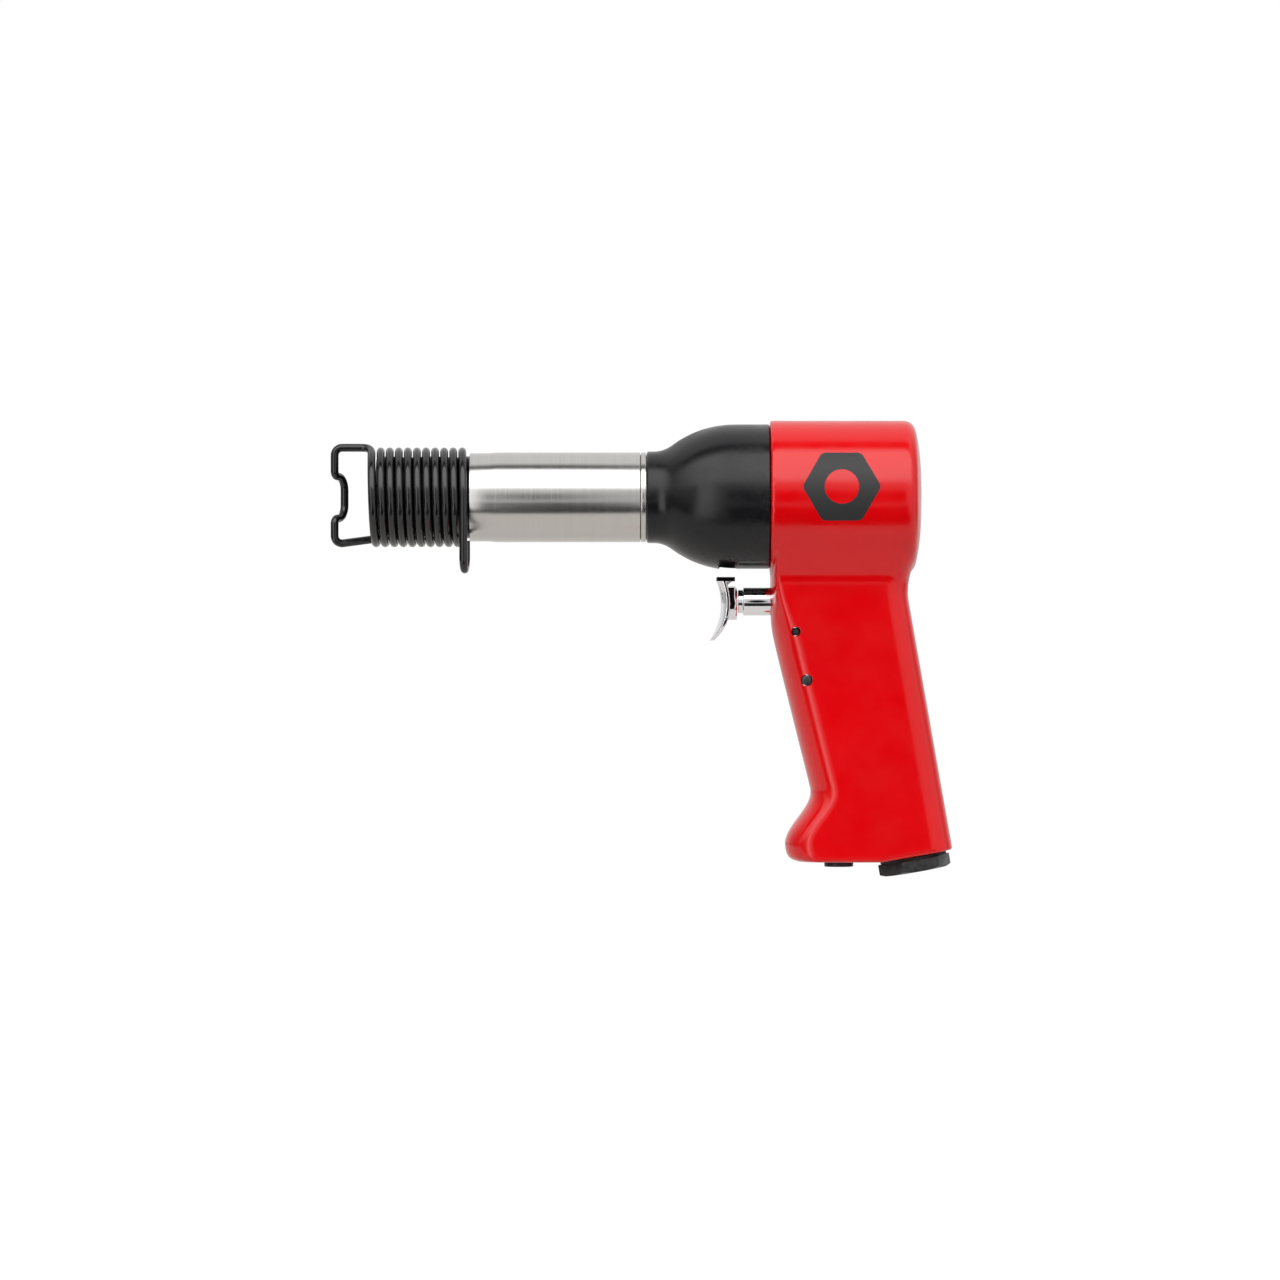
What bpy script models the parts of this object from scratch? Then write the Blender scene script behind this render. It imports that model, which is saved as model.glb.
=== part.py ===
"""A pistol-grip pneumatic air hammer with a coil retainer, as an assembly of separate pieces.

The barrel axis is the X axis, the nose points to -X and the grip hangs down (-Z).
The origin is the centre of the small flat on the back of the head, on the barrel axis.
"""

import math

import bmesh
import bpy
from mathutils import Matrix, Vector

MM = 0.001

# Clearances
GAP = 0.3 * MM  # between any two neighbouring pieces
OVERCUT = 2.0 * MM  # how far a cutter runs past the face it opens

# Head of the handle casting
HEAD_LENGTH = 60.2 * MM
HEAD_R = 30.6 * MM
HEAD_FLAT_R = 9.5 * MM
HEAD_DOME_R = 75.0 * MM
HEAD_CORNER_R = 4.8 * MM
SPIGOT_LENGTH = 1.5 * MM

# Grip of the handle casting
GRIP_DEPTH = 145.4 * MM  # barrel axis to the underside
GRIP_HALF_WIDTH = 17.0 * MM
GRIP_RAKE = math.radians(10.0)
GRIP_REAR_X = -12.2 * MM  # where the line of the grip's back meets the barrel axis
GRIP_THROAT = 57.1 * MM  # front to back below the head
GRIP_WAIST = 52.3 * MM  # front to back at the narrowest
GRIP_TOE = 66.5 * MM  # front to back at the flared foot
THROAT_DEPTH = 51.4 * MM  # below the barrel axis
WAIST_HEIGHT = 29.0 * MM  # above the underside
TOE_HEIGHT = 6.0 * MM
TOE_CORNER_R = 4.0 * MM
GRIP_FRONT_ROUND = 11.0 * MM
GRIP_BACK_ROUND_X = 8.5 * MM
GRIP_BACK_ROUND_Y = 11.0 * MM
HEAD_FILLET_R = 12.0 * MM  # between the head and the grip's flat sides
BACK_FILLET_R = 25.6 * MM  # between the head and the grip's back
BACK_FILLET_DEPTH = 42.0 * MM  # where that fillet starts, below the barrel axis
BACK_SETBACK = 2.6 * MM  # the grip stays this far inside the head's back
FRONT_BLEND = 1.2 * MM  # softness of the edge where the throat meets the head's front
FRONT_STEPS = 12  # facets round the grip's front
CORNER_STEPS = 4  # facets round each corner of its back
FOOT_FLAT_LENGTH = 44.0 * MM  # level part of the underside, behind the head's front
THROAT_LEVELS = (0.35, 0.44, 0.49, 0.535, 0.575, 0.615, 0.68, 0.75, 0.82, 0.895, 0.955, 1.0, 1.12)
WAIST_LEVELS = (1.6, 1.0, 0.85, 0.7, 0.55, 0.4, 0.25)  # sections of the grip above its foot
TOE_LEVELS = (1.0, 0.5, 0.15)

# Barrel
BARREL_R = 17.9 * MM
BARREL_FRONT_STEP = 0.3 * MM  # the part just behind the coil is this much smaller
NOSE_STEP = 1.5 * MM  # the part inside the coil is this much smaller
THREAD_STEP = 0.9 * MM  # the part inside the bell and head is this much smaller
NOSE_TIP = 157.0 * MM  # these five are distances in front of the head
NOSE_END = 119.7 * MM
FRONT_STEP_END = 112.0 * MM
BARREL_SHOULDER = 51.7 * MM
BELL_FRONT = 49.2 * MM
THREAD_LENGTH = 20.0 * MM  # inside the head
SHANK_BORE_R = 5.2 * MM
BUSH_LENGTH = 34.5 * MM
BUSH_WALL = 3.3 * MM
EXHAUST_PORT_R = 2.5 * MM
EXHAUST_PORT_AT = 28.0 * MM  # in front of the head
EXHAUST_PORT_SPACING = 9.0 * MM
NOSE_CHAMFER = 0.8 * MM
FRONT_TAPER = 3.0 * MM  # length of the taper up to the full size
BUSH_SETBACK = 0.6 * MM  # the bush ends this far inside the nose

# Piston
PISTON_R = 9.2 * MM
PISTON_LENGTH = 45.0 * MM
PISTON_NOSE_R = 5.5 * MM
PISTON_NOSE_LENGTH = 8.0 * MM
PISTON_CHAMFER = 1.0 * MM

# Bell-shaped exhaust sleeve
BELL_R = 29.1 * MM
BELL_LIP_R = 18.3 * MM
BELL_WALL = 2.2 * MM
BELL_SHOULDER_R = 41.8 * MM
BELL_THROAT_R = 12.6 * MM
BELL_SHOULDER_AT = 14.0 * MM  # in front of the head, where the bell turns cylindrical
NOTCH_FRONT = 20.2 * MM
NOTCH_BACK = 13.0 * MM
NOTCH_HALF_WIDTH = 7.0 * MM
NOTCH_DEPTH = 3.7 * MM
BELL_FLAT_DEPTH = 0.6 * MM
BELL_FLAT_START = 1.0 * MM  # in front of the notch's back edge

# Valve group behind the barrel
VALVE_BOX_LENGTH = 13.7 * MM
VALVE_FLOOR = 4.7 * MM
VALVE_CHAMBER_R = 10.8 * MM
VALVE_PORT_R = 6.0 * MM
SHUTTLE_LENGTH = 6.4 * MM
SHUTTLE_BORE_R = 4.0 * MM
SHUTTLE_RIM = 1.4 * MM  # its two flanges' thickness, and their height above the waist
VALVE_CAP_LENGTH = 4.2 * MM
CAP_PORT_R = 1.8 * MM
CAP_PORT_CIRCLE_R = 6.5 * MM
CAP_PORTS = 4
DOWEL_R = 1.5 * MM
DOWEL_CIRCLE_R = 13.6 * MM
GASKET_THICKNESS = 0.8 * MM
AIR_CHAMBER_R = 14.0 * MM
AIR_CHAMBER_WALL = 7.0 * MM  # left behind the air chamber

# Trigger
PLUNGER_DROP = 41.6 * MM  # plunger axis below the barrel axis
PLUNGER_R = 5.6 * MM
PLUNGER_FRONT = 10.6 * MM  # in front of the head
PLUNGER_BACK = 12.9 * MM  # behind the head's front
TRIGGER_TRAVEL = 5.0 * MM
PLUNGER_ROOM = 1.0 * MM  # left behind the plunger when it is pulled
NECK_R = 4.7 * MM
NECK_LENGTH = 2.4 * MM
BOSS_R = 6.6 * MM
BOSS_LENGTH = 4.6 * MM
BOSS_DROP = 0.8 * MM  # boss axis below the plunger axis
SEAL_GROOVE_AT = 1.4 * MM  # behind the head's front
SEAL_GROOVE_WIDTH = 2.2 * MM
SEAL_GROOVE_DEPTH = 1.5 * MM
TRIGGER_FACE_R = 26.0 * MM
TRIGGER_FACE_AT = 19.5 * MM  # in front of the head, at the deepest point of the finger curve
TRIGGER_FACE_DROP = 1.0 * MM  # that point below the plunger axis
TRIGGER_TOP = 8.4 * MM  # above the plunger axis
TRIGGER_TIP = 15.6 * MM  # below the plunger axis
TRIGGER_HALF_WIDTH = 8.8 * MM
TRIGGER_CROWN = 2.5 * MM
TRIGGER_PLATE = 2.1 * MM
BLADE_STEPS = 10  # sections down the finger plate
BLADE_BLUNTNESS = 0.2  # keeps its tip from ending in a point
BLADE_ROUNDING = 2.4  # how square the tip's outline is
TRIGGER_BAR_LENGTH = 7.4 * MM
TRIGGER_BAR_HEIGHT = 1.7 * MM
TRIGGER_BAR_OVERLAP = 0.4 * MM  # how far the bar dips below the plate's top
TRIGGER_BAR_LIP = 0.1 * MM  # how far it stands in front of the plate

# Throttle lever and valve, on the line of the two cross pins
PIVOT_BACK = 10.1 * MM  # behind the head's front
PIVOT_DROP = 53.7 * MM  # below the barrel axis
PIN_LINE_TILT = math.radians(12.5)
PIVOT_PIN_R = 1.55 * MM
PIVOT_HOLE_R = 1.85 * MM
PIVOT_PIN_RECESS = 3.0 * MM
REST_PIN_AT = 19.8 * MM  # from the pivot, along the pin line
REST_PIN_R = 2.0 * MM
REST_PIN_RECESS = 0.6 * MM
LEVER_HALF_THICKNESS = 2.0 * MM
LEVER_HUB_WALL = 1.35 * MM
LEVER_TIP_R = 1.5 * MM
LEVER_WEB_SHARE = 0.85  # how wide the lever's webs are beside its round ends
LEVER_TOE_REACH = 4.6 * MM
LEVER_TOE_ANGLE = math.radians(20.0)
LEVER_TOE_R = 1.9 * MM
THROTTLE_BORE_R = 5.2 * MM
VALVE_CAP_R = 4.6 * MM
VALVE_CAP_THICKNESS = 1.3 * MM
VALVE_STEM_R = 1.5 * MM
VALVE_LIFT = 1.58 * MM
SEAT_THICKNESS = 2.1 * MM
SEAT_BORE_R = 2.9 * MM
VALVE_HEAD_R = 3.6 * MM
VALVE_HEAD_THICKNESS = 1.8 * MM
VALVE_GUIDE_LENGTH = 1.2 * MM  # the stub that centres the spring
SPRING_WIRE_R = 0.4 * MM
SPRING_R = 2.9 * MM
SPRING_TURNS = 3.5

# Air passages
PASSAGE_R = 3.4 * MM
RISER_BACK = 47.0 * MM  # riser axis behind the head's front
CROSS_DROP = 56.5 * MM  # passage from the lever chamber to the riser
FEED_HEIGHT = 20.4 * MM  # feed passage above the underside

# Regulator
REGULATOR_BACK = 27.6 * MM  # behind the head's front
REGULATOR_DISC_R = 5.8 * MM
REGULATOR_DISC_THICKNESS = 1.8 * MM
REGULATOR_STEM_R = 4.2 * MM
REGULATOR_LENGTH = 25.5 * MM
REGULATOR_ROOM = 2.0 * MM  # left above the spindle
REGULATOR_HOLLOW_R = 2.5 * MM
REGULATOR_WINDOW_R = 2.2 * MM
REGULATOR_SEAL_HEIGHT = 7.0 * MM  # above the underside
REGULATOR_GROOVE_DEPTH = 1.1 * MM
REGULATOR_GROOVE_WIDTH = 1.8 * MM
REGULATOR_CHAMFER = 0.4 * MM
REGULATOR_HOLLOW_ROOM = 1.0 * MM  # hollow below its feed window
SLOT_WIDTH = 1.4 * MM
SLOT_DEPTH = 0.9 * MM

# Air inlet
INLET_BACK = 57.2 * MM  # behind the head's front, on the underside
INLET_HEX_ACROSS = 25.4 * MM
INLET_HEX_HEIGHT = 4.7 * MM
INLET_HEX_TURN = math.radians(8.5)
INLET_HEX_TRIM = 0.2 * MM  # how much of the hexagon's corners the chamfering takes
INLET_CHAMFER = 0.9 * MM
INLET_SPIGOT_R = 10.3 * MM
INLET_SPIGOT_LENGTH = 16.0 * MM
INLET_BORE_R = 6.5 * MM
INLET_CHAMBER_R = 8.6 * MM
INLET_CHAMBER_LENGTH = 12.0 * MM
INLET_SEAL_THICKNESS = 1.0 * MM
INLET_SEAL_OUTER_R = 12.1 * MM
SCREEN_THICKNESS = 0.8 * MM
SCREEN_HOLE_R = 1.3 * MM
SCREEN_HOLES = 6
SCREEN_CIRCLE_R = 4.6 * MM

# Coil retainer and its front loop
WIRE_R = 1.65 * MM
COIL_PITCH = 3.62 * MM
COIL_TURNS = 10.25
COIL_FRONT = 159.0 * MM  # in front of the head, wire centre
COIL_STEPS = 18  # sections in each turn
BEND_STEPS = 7  # sections in the bend that leads in
LEAD_TURN = math.radians(24.0)  # where that bend reaches the first turn
LEAD_PULL = 4.0 * MM  # how gently it bends
TAIL_DROP = 24.8 * MM
TAIL_BEND_R = 4.2 * MM
TAIL_STEPS = 8
TAIL_END_DROP = 17.5 * MM
TAIL_SHIFT = 0.9 * MM
LIMB_HEIGHT = 19.8 * MM
LOOP_SPLIT = 163.2 * MM  # where the loop meets the coil wire, in front of the head
LOOP_FRONT = 173.8 * MM
LOOP_CORNER_R = 3.0 * MM
BOW_TOP = 4.6 * MM  # above the barrel axis
BOW_BOTTOM = 12.2 * MM  # below the barrel axis
BOW_REACH = 8.0 * MM
BOW_SETBACK = 3.6 * MM
BOW_ROUND_R = 5.5 * MM
BOW_CORNER_R = 2.2 * MM
BOW_SLOPE = 0.6 * MM
LOOP_BOTTOM = 18.8 * MM
LOOP_END = 160.9 * MM
LOOP_END_RISE = 2.0 * MM
LOOP_END_REACH = 4.5 * MM

# Places that follow from the sizes above
FRONT = -HEAD_LENGTH
THREAD_R = BARREL_R - THREAD_STEP
NOSE_R = BARREL_R - NOSE_STEP
HEAD_BORE_R = THREAD_R + GAP
PISTON_BORE_R = PISTON_R + GAP
BUSH_R = SHANK_BORE_R + BUSH_WALL
COIL_R = NOSE_R + GAP + WIRE_R
PLUNGER_BORE_R = PLUNGER_R + GAP
HUB_R = PIVOT_HOLE_R + LEVER_HUB_WALL
UNDERSIDE = -GRIP_DEPTH
PIVOT = Vector((FRONT + PIVOT_BACK, 0.0, -PIVOT_DROP))
PIN_LINE = Vector((math.sin(PIN_LINE_TILT), 0.0, -math.cos(PIN_LINE_TILT)))
PIN_LINE_SIDE = Vector((math.cos(PIN_LINE_TILT), 0.0, math.sin(PIN_LINE_TILT)))
INLET_AXIS = Vector((math.sin(GRIP_RAKE), 0.0, -math.cos(GRIP_RAKE)))
FOOT_BREAK = Vector((FRONT + FOOT_FLAT_LENGTH, 0.0, UNDERSIDE))
VALVE_TOP = LEVER_TOE_REACH * math.sin(LEVER_TOE_ANGLE) + LEVER_TOE_R + GAP
SEAT_TOP = VALVE_TOP + VALVE_CAP_THICKNESS + VALVE_LIFT + GAP
SEAT_BOTTOM = SEAT_TOP + SEAT_THICKNESS


# ---- building helpers ----------------------------------------------------------------------


def clear_scene():
    for obj in list(bpy.data.objects):
        bpy.data.objects.remove(obj, do_unlink=True)


def finish(name, colour, roughness, metallic):
    """One Principled material."""
    made = bpy.data.materials.new(name)
    made.use_nodes = True
    shader = made.node_tree.nodes["Principled BSDF"]
    shader.inputs["Base Color"].default_value = (*colour, 1.0)
    shader.inputs["Roughness"].default_value = roughness
    shader.inputs["Metallic"].default_value = metallic
    return made


def piece(name, mesh_data, look, origin=(0.0, 0.0, 0.0)):
    """An object from a bmesh in world places, with its own origin."""
    bmesh.ops.translate(mesh_data, verts=mesh_data.verts, vec=-Vector(origin))
    mesh = bpy.data.meshes.new(name)
    mesh_data.to_mesh(mesh)
    mesh_data.free()
    mesh.shade_smooth()
    mesh.set_sharp_from_angle(angle=math.radians(35.0))
    obj = bpy.data.objects.new(name, mesh)
    obj.location = origin
    if look:
        mesh.materials.append(look)
    bpy.context.collection.objects.link(obj)
    return obj


def tool(name, mesh_data):
    """A solid that only shapes another one."""
    obj = piece(name, mesh_data, None)
    obj.hide_render = True
    obj.display_type = "WIRE"
    return obj


def shape_with(target, operation, *tools):
    for each in tools:
        step = target.modifiers.new(each.name, "BOOLEAN")
        step.operation = operation
        step.solver = "EXACT"
        step.object = each


def turned(profile, segments):
    """A solid turned about X from (along, radius) points; one that starts off the axis is a ring."""
    shape = bmesh.new()
    verts = [shape.verts.new((along, 0.0, radius)) for along, radius in profile]
    edges = [shape.edges.new(pair) for pair in zip(verts, verts[1:])]
    if profile[0][1] > 0.0:
        edges.append(shape.edges.new((verts[-1], verts[0])))
    bmesh.ops.spin(
        shape,
        geom=verts + edges,
        cent=(0.0, 0.0, 0.0),
        axis=(1.0, 0.0, 0.0),
        angle=2.0 * math.pi,
        steps=segments,
        use_merge=True,
    )
    bmesh.ops.remove_doubles(shape, verts=shape.verts, dist=0.001 * MM)
    bmesh.ops.recalc_face_normals(shape, faces=shape.faces)
    return shape


def aimed(shape, direction, place):
    """Turns a shape made along +X to a direction in the XZ plane or along Y, and moves it."""
    turn = Vector((1.0, 0.0, 0.0)).rotation_difference(Vector(direction)).to_matrix().to_4x4()
    bmesh.ops.transform(shape, verts=shape.verts, matrix=Matrix.Translation(place) @ turn)
    return shape


def rod(start, direction, length, radius, segments=20):
    """A plain round rod or drilled hole."""
    profile = [(0.0, 0.0), (0.0, radius), (length, radius), (length, 0.0)]
    return aimed(turned(profile, segments), direction, Vector(start))


def block(low, high):
    """A box between two corners."""
    shape = bmesh.new()
    bmesh.ops.create_cube(shape, size=1.0)
    size = Vector(high) - Vector(low)
    middle = (Vector(high) + Vector(low)) / 2.0
    bmesh.ops.scale(shape, verts=shape.verts, vec=size)
    bmesh.ops.translate(shape, verts=shape.verts, vec=middle)
    return shape


def joined(*shapes):
    """Several separate shapes in one bmesh."""
    whole = bmesh.new()
    for shape in shapes:
        part = bpy.data.meshes.new("part")
        shape.to_mesh(part)
        shape.free()
        whole.from_mesh(part)
        bpy.data.meshes.remove(part)
    return whole


def lofted(rings):
    """A closed solid through rings of points that all have the same count."""
    shape = bmesh.new()
    loops = [[shape.verts.new(point) for point in ring] for ring in rings]
    for low, high in zip(loops, loops[1:]):
        for i in range(len(low)):
            j = (i + 1) % len(low)
            shape.faces.new((low[i], low[j], high[j], high[i]))
    shape.faces.new(loops[0])
    shape.faces.new(loops[-1])
    bmesh.ops.recalc_face_normals(shape, faces=shape.faces)
    return shape


def sliced(shape, point, normal):
    """Takes away what lies on the normal's side of a plane and closes the cut."""
    geometry = shape.verts[:] + shape.edges[:] + shape.faces[:]
    done = bmesh.ops.bisect_plane(
        shape, geom=geometry, plane_co=point, plane_no=normal, clear_outer=True, dist=0.001 * MM
    )
    rim = [item for item in done["geom_cut"] if isinstance(item, bmesh.types.BMEdge)]
    bmesh.ops.edgeloop_fill(shape, edges=rim)
    return shape


def extruded(outline, half_thickness):
    """A plate with an XZ outline, from -Y to +Y."""
    shape = bmesh.new()
    verts = [shape.verts.new((x, -half_thickness, z)) for x, z in outline]
    face = shape.faces.new(verts)
    grown = bmesh.ops.extrude_face_region(shape, geom=[face])
    moved = [item for item in grown["geom"] if isinstance(item, bmesh.types.BMVert)]
    bmesh.ops.translate(shape, verts=moved, vec=(0.0, 2.0 * half_thickness, 0.0))
    bmesh.ops.recalc_face_normals(shape, faces=shape.faces)
    return shape


def wire(name, points, radius, look, sides=8, origin=(0.0, 0.0, 0.0)):
    """A round wire through points, with flat ends."""
    curve = bpy.data.curves.new(name, "CURVE")
    curve.dimensions = "3D"
    curve.bevel_depth = radius
    curve.bevel_resolution = (sides - 4) // 2
    curve.use_fill_caps = True
    run = curve.splines.new("POLY")
    run.points.add(len(points) - 1)
    for spot, point in zip(run.points, points):
        spot.co = (*(Vector(point) - Vector(origin)), 1.0)
    run.use_smooth = True
    curve.materials.append(look)
    obj = bpy.data.objects.new(name, curve)
    obj.location = origin
    bpy.context.collection.objects.link(obj)
    return obj


def arc(centre, radius, start, end, steps):
    """Points on an arc in a plane, from one angle to the other, both included."""
    spots = [start + (end - start) * i / steps for i in range(steps + 1)]
    return [(centre[0] + radius * math.cos(a), centre[1] + radius * math.sin(a)) for a in spots]


def rounded_path(corners, steps=4):
    """A run of straight lines whose inner corners are arcs: each corner is (point, radius)."""
    path = [Vector(corners[0][0])]
    for before, here, after in zip(corners, corners[1:], corners[2:]):
        spot, radius = Vector(here[0]), here[1]
        back = (Vector(before[0]) - spot).normalized()
        ahead = (Vector(after[0]) - spot).normalized()
        half = back.angle(ahead) / 2.0
        middle = spot + (back + ahead).normalized() * radius / math.sin(half)
        start = spot + back * radius / math.tan(half) - middle
        end = spot + ahead * radius / math.tan(half) - middle
        path += [middle + start.slerp(end, i / steps) * radius for i in range(steps + 1)]
    path.append(Vector(corners[-1][0]))
    return path


def smooth_step(value):
    value = min(1.0, max(0.0, value))
    return value * value * (3.0 - 2.0 * value)


# ---- handle casting ------------------------------------------------------------------------


def head_profile():
    """Half outline of the head, from the spigot to the flat on its back."""
    spigot_r = BELL_R - BELL_WALL - GAP
    corner_r = HEAD_R - HEAD_CORNER_R
    reach = HEAD_DOME_R - HEAD_CORNER_R
    lean = math.asin((corner_r - HEAD_FLAT_R) / reach)
    corner_x = reach * math.cos(lean) - HEAD_DOME_R
    points = [(FRONT - SPIGOT_LENGTH, 0.0), (FRONT - SPIGOT_LENGTH, spigot_r)]
    points += [(FRONT, spigot_r), (FRONT, HEAD_R)]
    points += arc((corner_x, corner_r), HEAD_CORNER_R, math.pi / 2.0, lean, 4)
    dome = arc((-HEAD_DOME_R, HEAD_FLAT_R), HEAD_DOME_R, lean, 0.0, 3)
    return points + dome[1:] + [(0.0, 0.0)]


def grip_back(z):
    """Where the grip's back is at a height, with the fillet into the head."""
    rise = max(0.0, z + BACK_FILLET_DEPTH)
    back = GRIP_REAR_X - z * math.tan(GRIP_RAKE) + rise * rise / (2.0 * BACK_FILLET_R)
    return min(back, -BACK_SETBACK) if rise > 0.0 else back


def grip_front(z):
    """Where the grip's front is at a height: throat, waist and flared toe."""
    height = max(0.0, z - UNDERSIDE)
    waist_depth = GRIP_DEPTH - WAIST_HEIGHT
    taper = (-z - THROAT_DEPTH) / (waist_depth - THROAT_DEPTH)
    depth = GRIP_THROAT + (GRIP_WAIST - GRIP_THROAT) * min(1.0, taper)
    flare = smooth_step((WAIST_HEIGHT - height) / (WAIST_HEIGHT - TOE_HEIGHT))
    depth += (GRIP_TOE - GRIP_WAIST) * flare
    lift = max(0.0, TOE_CORNER_R - height)
    corner = TOE_CORNER_R - math.sqrt(TOE_CORNER_R**2 - lift**2)
    front = grip_back(z) - depth + corner
    flush = FRONT + GAP / 3.0
    return (front + flush + math.sqrt((front - flush) ** 2 + FRONT_BLEND**2)) / 2.0


def grip_half_width(z):
    """Half the grip's width at a height, with the fillets under the head."""
    centre_y = GRIP_HALF_WIDTH + HEAD_FILLET_R
    centre_z = -math.sqrt((HEAD_R + HEAD_FILLET_R) ** 2 - centre_y**2)
    rise = min(max(0.0, z - centre_z), HEAD_FILLET_R * 0.8)
    return centre_y - math.sqrt(HEAD_FILLET_R**2 - rise**2)


def grip_ring(z):
    """One level section of the grip: a round front, flat sides and a rounded back."""
    front, back, half = grip_front(z), grip_back(z), grip_half_width(z)
    ring = []
    for i in range(FRONT_STEPS + 1):
        angle = math.pi / 2.0 + math.pi * i / FRONT_STEPS
        x = front + GRIP_FRONT_ROUND * (1.0 + math.cos(angle))
        ring.append((x, half * math.sin(angle), z))
    for side in (-1.0, 1.0):
        corner = []
        for i in range(CORNER_STEPS + 1):
            angle = math.pi / 2.0 * i / CORNER_STEPS
            x = back - GRIP_BACK_ROUND_X * (1.0 - math.sin(angle))
            corner.append((x, side * (half - GRIP_BACK_ROUND_Y * (1.0 - math.cos(angle))), z))
        ring += corner if side < 0.0 else corner[::-1]
    return ring


def grip_levels():
    """Heights of the grip's sections, closer together where it curves."""
    levels = [-THROAT_DEPTH * share for share in THROAT_LEVELS]
    toe = [WAIST_HEIGHT * share for share in WAIST_LEVELS]
    toe += [TOE_CORNER_R * share for share in TOE_LEVELS] + [-OVERCUT]
    return levels + [UNDERSIDE + height for height in toe]


def grip_solid():
    shape = lofted([grip_ring(z) for z in grip_levels()])
    sliced(shape, FOOT_BREAK, (0.0, 0.0, -1.0))
    return sliced(shape, FOOT_BREAK, INLET_AXIS)


def along_pin_line(distance, aside=0.0):
    """A point at a distance from the lever's pivot along the line of the pins."""
    return PIVOT + PIN_LINE * distance + PIN_LINE_SIDE * aside


def inlet_point(height):
    """A point on the inlet's axis, at a height above the underside."""
    run = (INLET_BACK - FOOT_FLAT_LENGTH) / math.cos(GRIP_RAKE)
    along = Vector((math.cos(GRIP_RAKE), 0.0, math.sin(GRIP_RAKE)))
    return FOOT_BREAK + along * run - INLET_AXIS * height


def head_cavity():
    """Barrel bore, valve bore and the air chamber behind them."""
    bore_end = THREAD_LENGTH + 3.0 * GAP + VALVE_BOX_LENGTH + VALVE_CAP_LENGTH + GASKET_THICKNESS
    bore_end += 2.0 * GAP
    profile = [(FRONT - SPIGOT_LENGTH - OVERCUT, 0.0), (FRONT - SPIGOT_LENGTH - OVERCUT, HEAD_BORE_R)]
    profile += [(FRONT + bore_end, HEAD_BORE_R), (FRONT + bore_end, AIR_CHAMBER_R)]
    profile += [(-AIR_CHAMBER_WALL, AIR_CHAMBER_R), (-AIR_CHAMBER_WALL, 0.0)]
    return turned(profile, 32)


def lever_slot():
    """The narrow space that the throttle lever rocks in."""
    half = LEVER_HALF_THICKNESS + GAP
    arm = PIVOT_DROP - PLUNGER_DROP
    low = (PIVOT.x - TRIGGER_TRAVEL, -half, PIVOT.z - VALVE_TOP - GAP)
    reach = LEVER_TOE_REACH + LEVER_TOE_R + 2.0 * GAP
    return block(low, (PIVOT.x + reach, half, PIVOT.z + arm))


def cross_hole(place, radius, segments):
    """A hole right through the grip from side to side."""
    length = 2.0 * (GRIP_HALF_WIDTH + OVERCUT)
    start = Vector((place.x, -length / 2.0, place.z))
    return rod(start, (0.0, 1.0, 0.0), length, radius, segments)


def handle_cutters():
    """Everything that is bored into the casting."""
    throat = Vector((FRONT - SPIGOT_LENGTH - OVERCUT, 0.0, -PLUNGER_DROP))
    plunger_depth = SPIGOT_LENGTH + OVERCUT + PLUNGER_BACK + TRIGGER_TRAVEL + PLUNGER_ROOM
    throttle_end = (GRIP_DEPTH - FEED_HEIGHT - PIVOT_DROP) / math.cos(PIN_LINE_TILT) - PASSAGE_R
    throttle_start = VALVE_TOP - GAP
    throttle_depth = throttle_end - throttle_start
    feed_z = UNDERSIDE + FEED_HEIGHT
    regulator_x = FRONT + REGULATOR_BACK
    riser = Vector((FRONT + RISER_BACK, 0.0, -CROSS_DROP - PASSAGE_R))
    riser_length = -AIR_CHAMBER_R / 2.0 - riser.z
    cross = PIVOT + Vector((0.0, 0.0, PIVOT_DROP - CROSS_DROP))
    regulator = (regulator_x, 0.0, UNDERSIDE - OVERCUT)
    regulator_depth = OVERCUT + REGULATOR_LENGTH + REGULATOR_ROOM
    rest_pin = along_pin_line(REST_PIN_AT)
    inlet_depth = OVERCUT + INLET_SPIGOT_LENGTH + 2.0 * GAP + SCREEN_THICKNESS
    chamber_top = INLET_SPIGOT_LENGTH + 2.0 * GAP + SCREEN_THICKNESS + INLET_CHAMBER_LENGTH
    feed_start = Vector((regulator_x, 0.0, feed_z))
    feed_length = inlet_point(FEED_HEIGHT).x - regulator_x
    lift = -INLET_AXIS
    holes = {
        "head_cavity": head_cavity(),
        "plunger_bore": rod(throat, (1, 0, 0), plunger_depth, PLUNGER_BORE_R),
        "lever_slot": lever_slot(),
        "throttle_bore": rod(along_pin_line(throttle_start), PIN_LINE, throttle_depth, THROTTLE_BORE_R),
        "pivot_hole": cross_hole(PIVOT, PIVOT_HOLE_R, 12),
        "rest_hole": cross_hole(rest_pin, REST_PIN_R + GAP, 12),
        "cross_passage": rod(cross, (1, 0, 0), RISER_BACK - PIVOT_BACK, PASSAGE_R, 12),
        "riser": rod(riser, (0, 0, 1), riser_length, PASSAGE_R, 12),
        "regulator_bore": rod(regulator, (0, 0, 1), regulator_depth, REGULATOR_STEM_R + GAP),
        "feed_passage": rod(feed_start, (1, 0, 0), feed_length, PASSAGE_R, 12),
        "inlet_bore": rod(inlet_point(-OVERCUT), lift, inlet_depth, INLET_SPIGOT_R + GAP, 24),
        "inlet_chamber": rod(inlet_point(OVERCUT), lift, chamber_top, INLET_CHAMBER_R),
    }
    return [tool(name, shape) for name, shape in holes.items()]


def make_handle(red):
    casting = piece("handle_casting", turned(head_profile(), 40), red)
    shape_with(casting, "UNION", tool("grip", grip_solid()))
    shape_with(casting, "DIFFERENCE", *handle_cutters())


# ---- barrel group --------------------------------------------------------------------------


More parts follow.
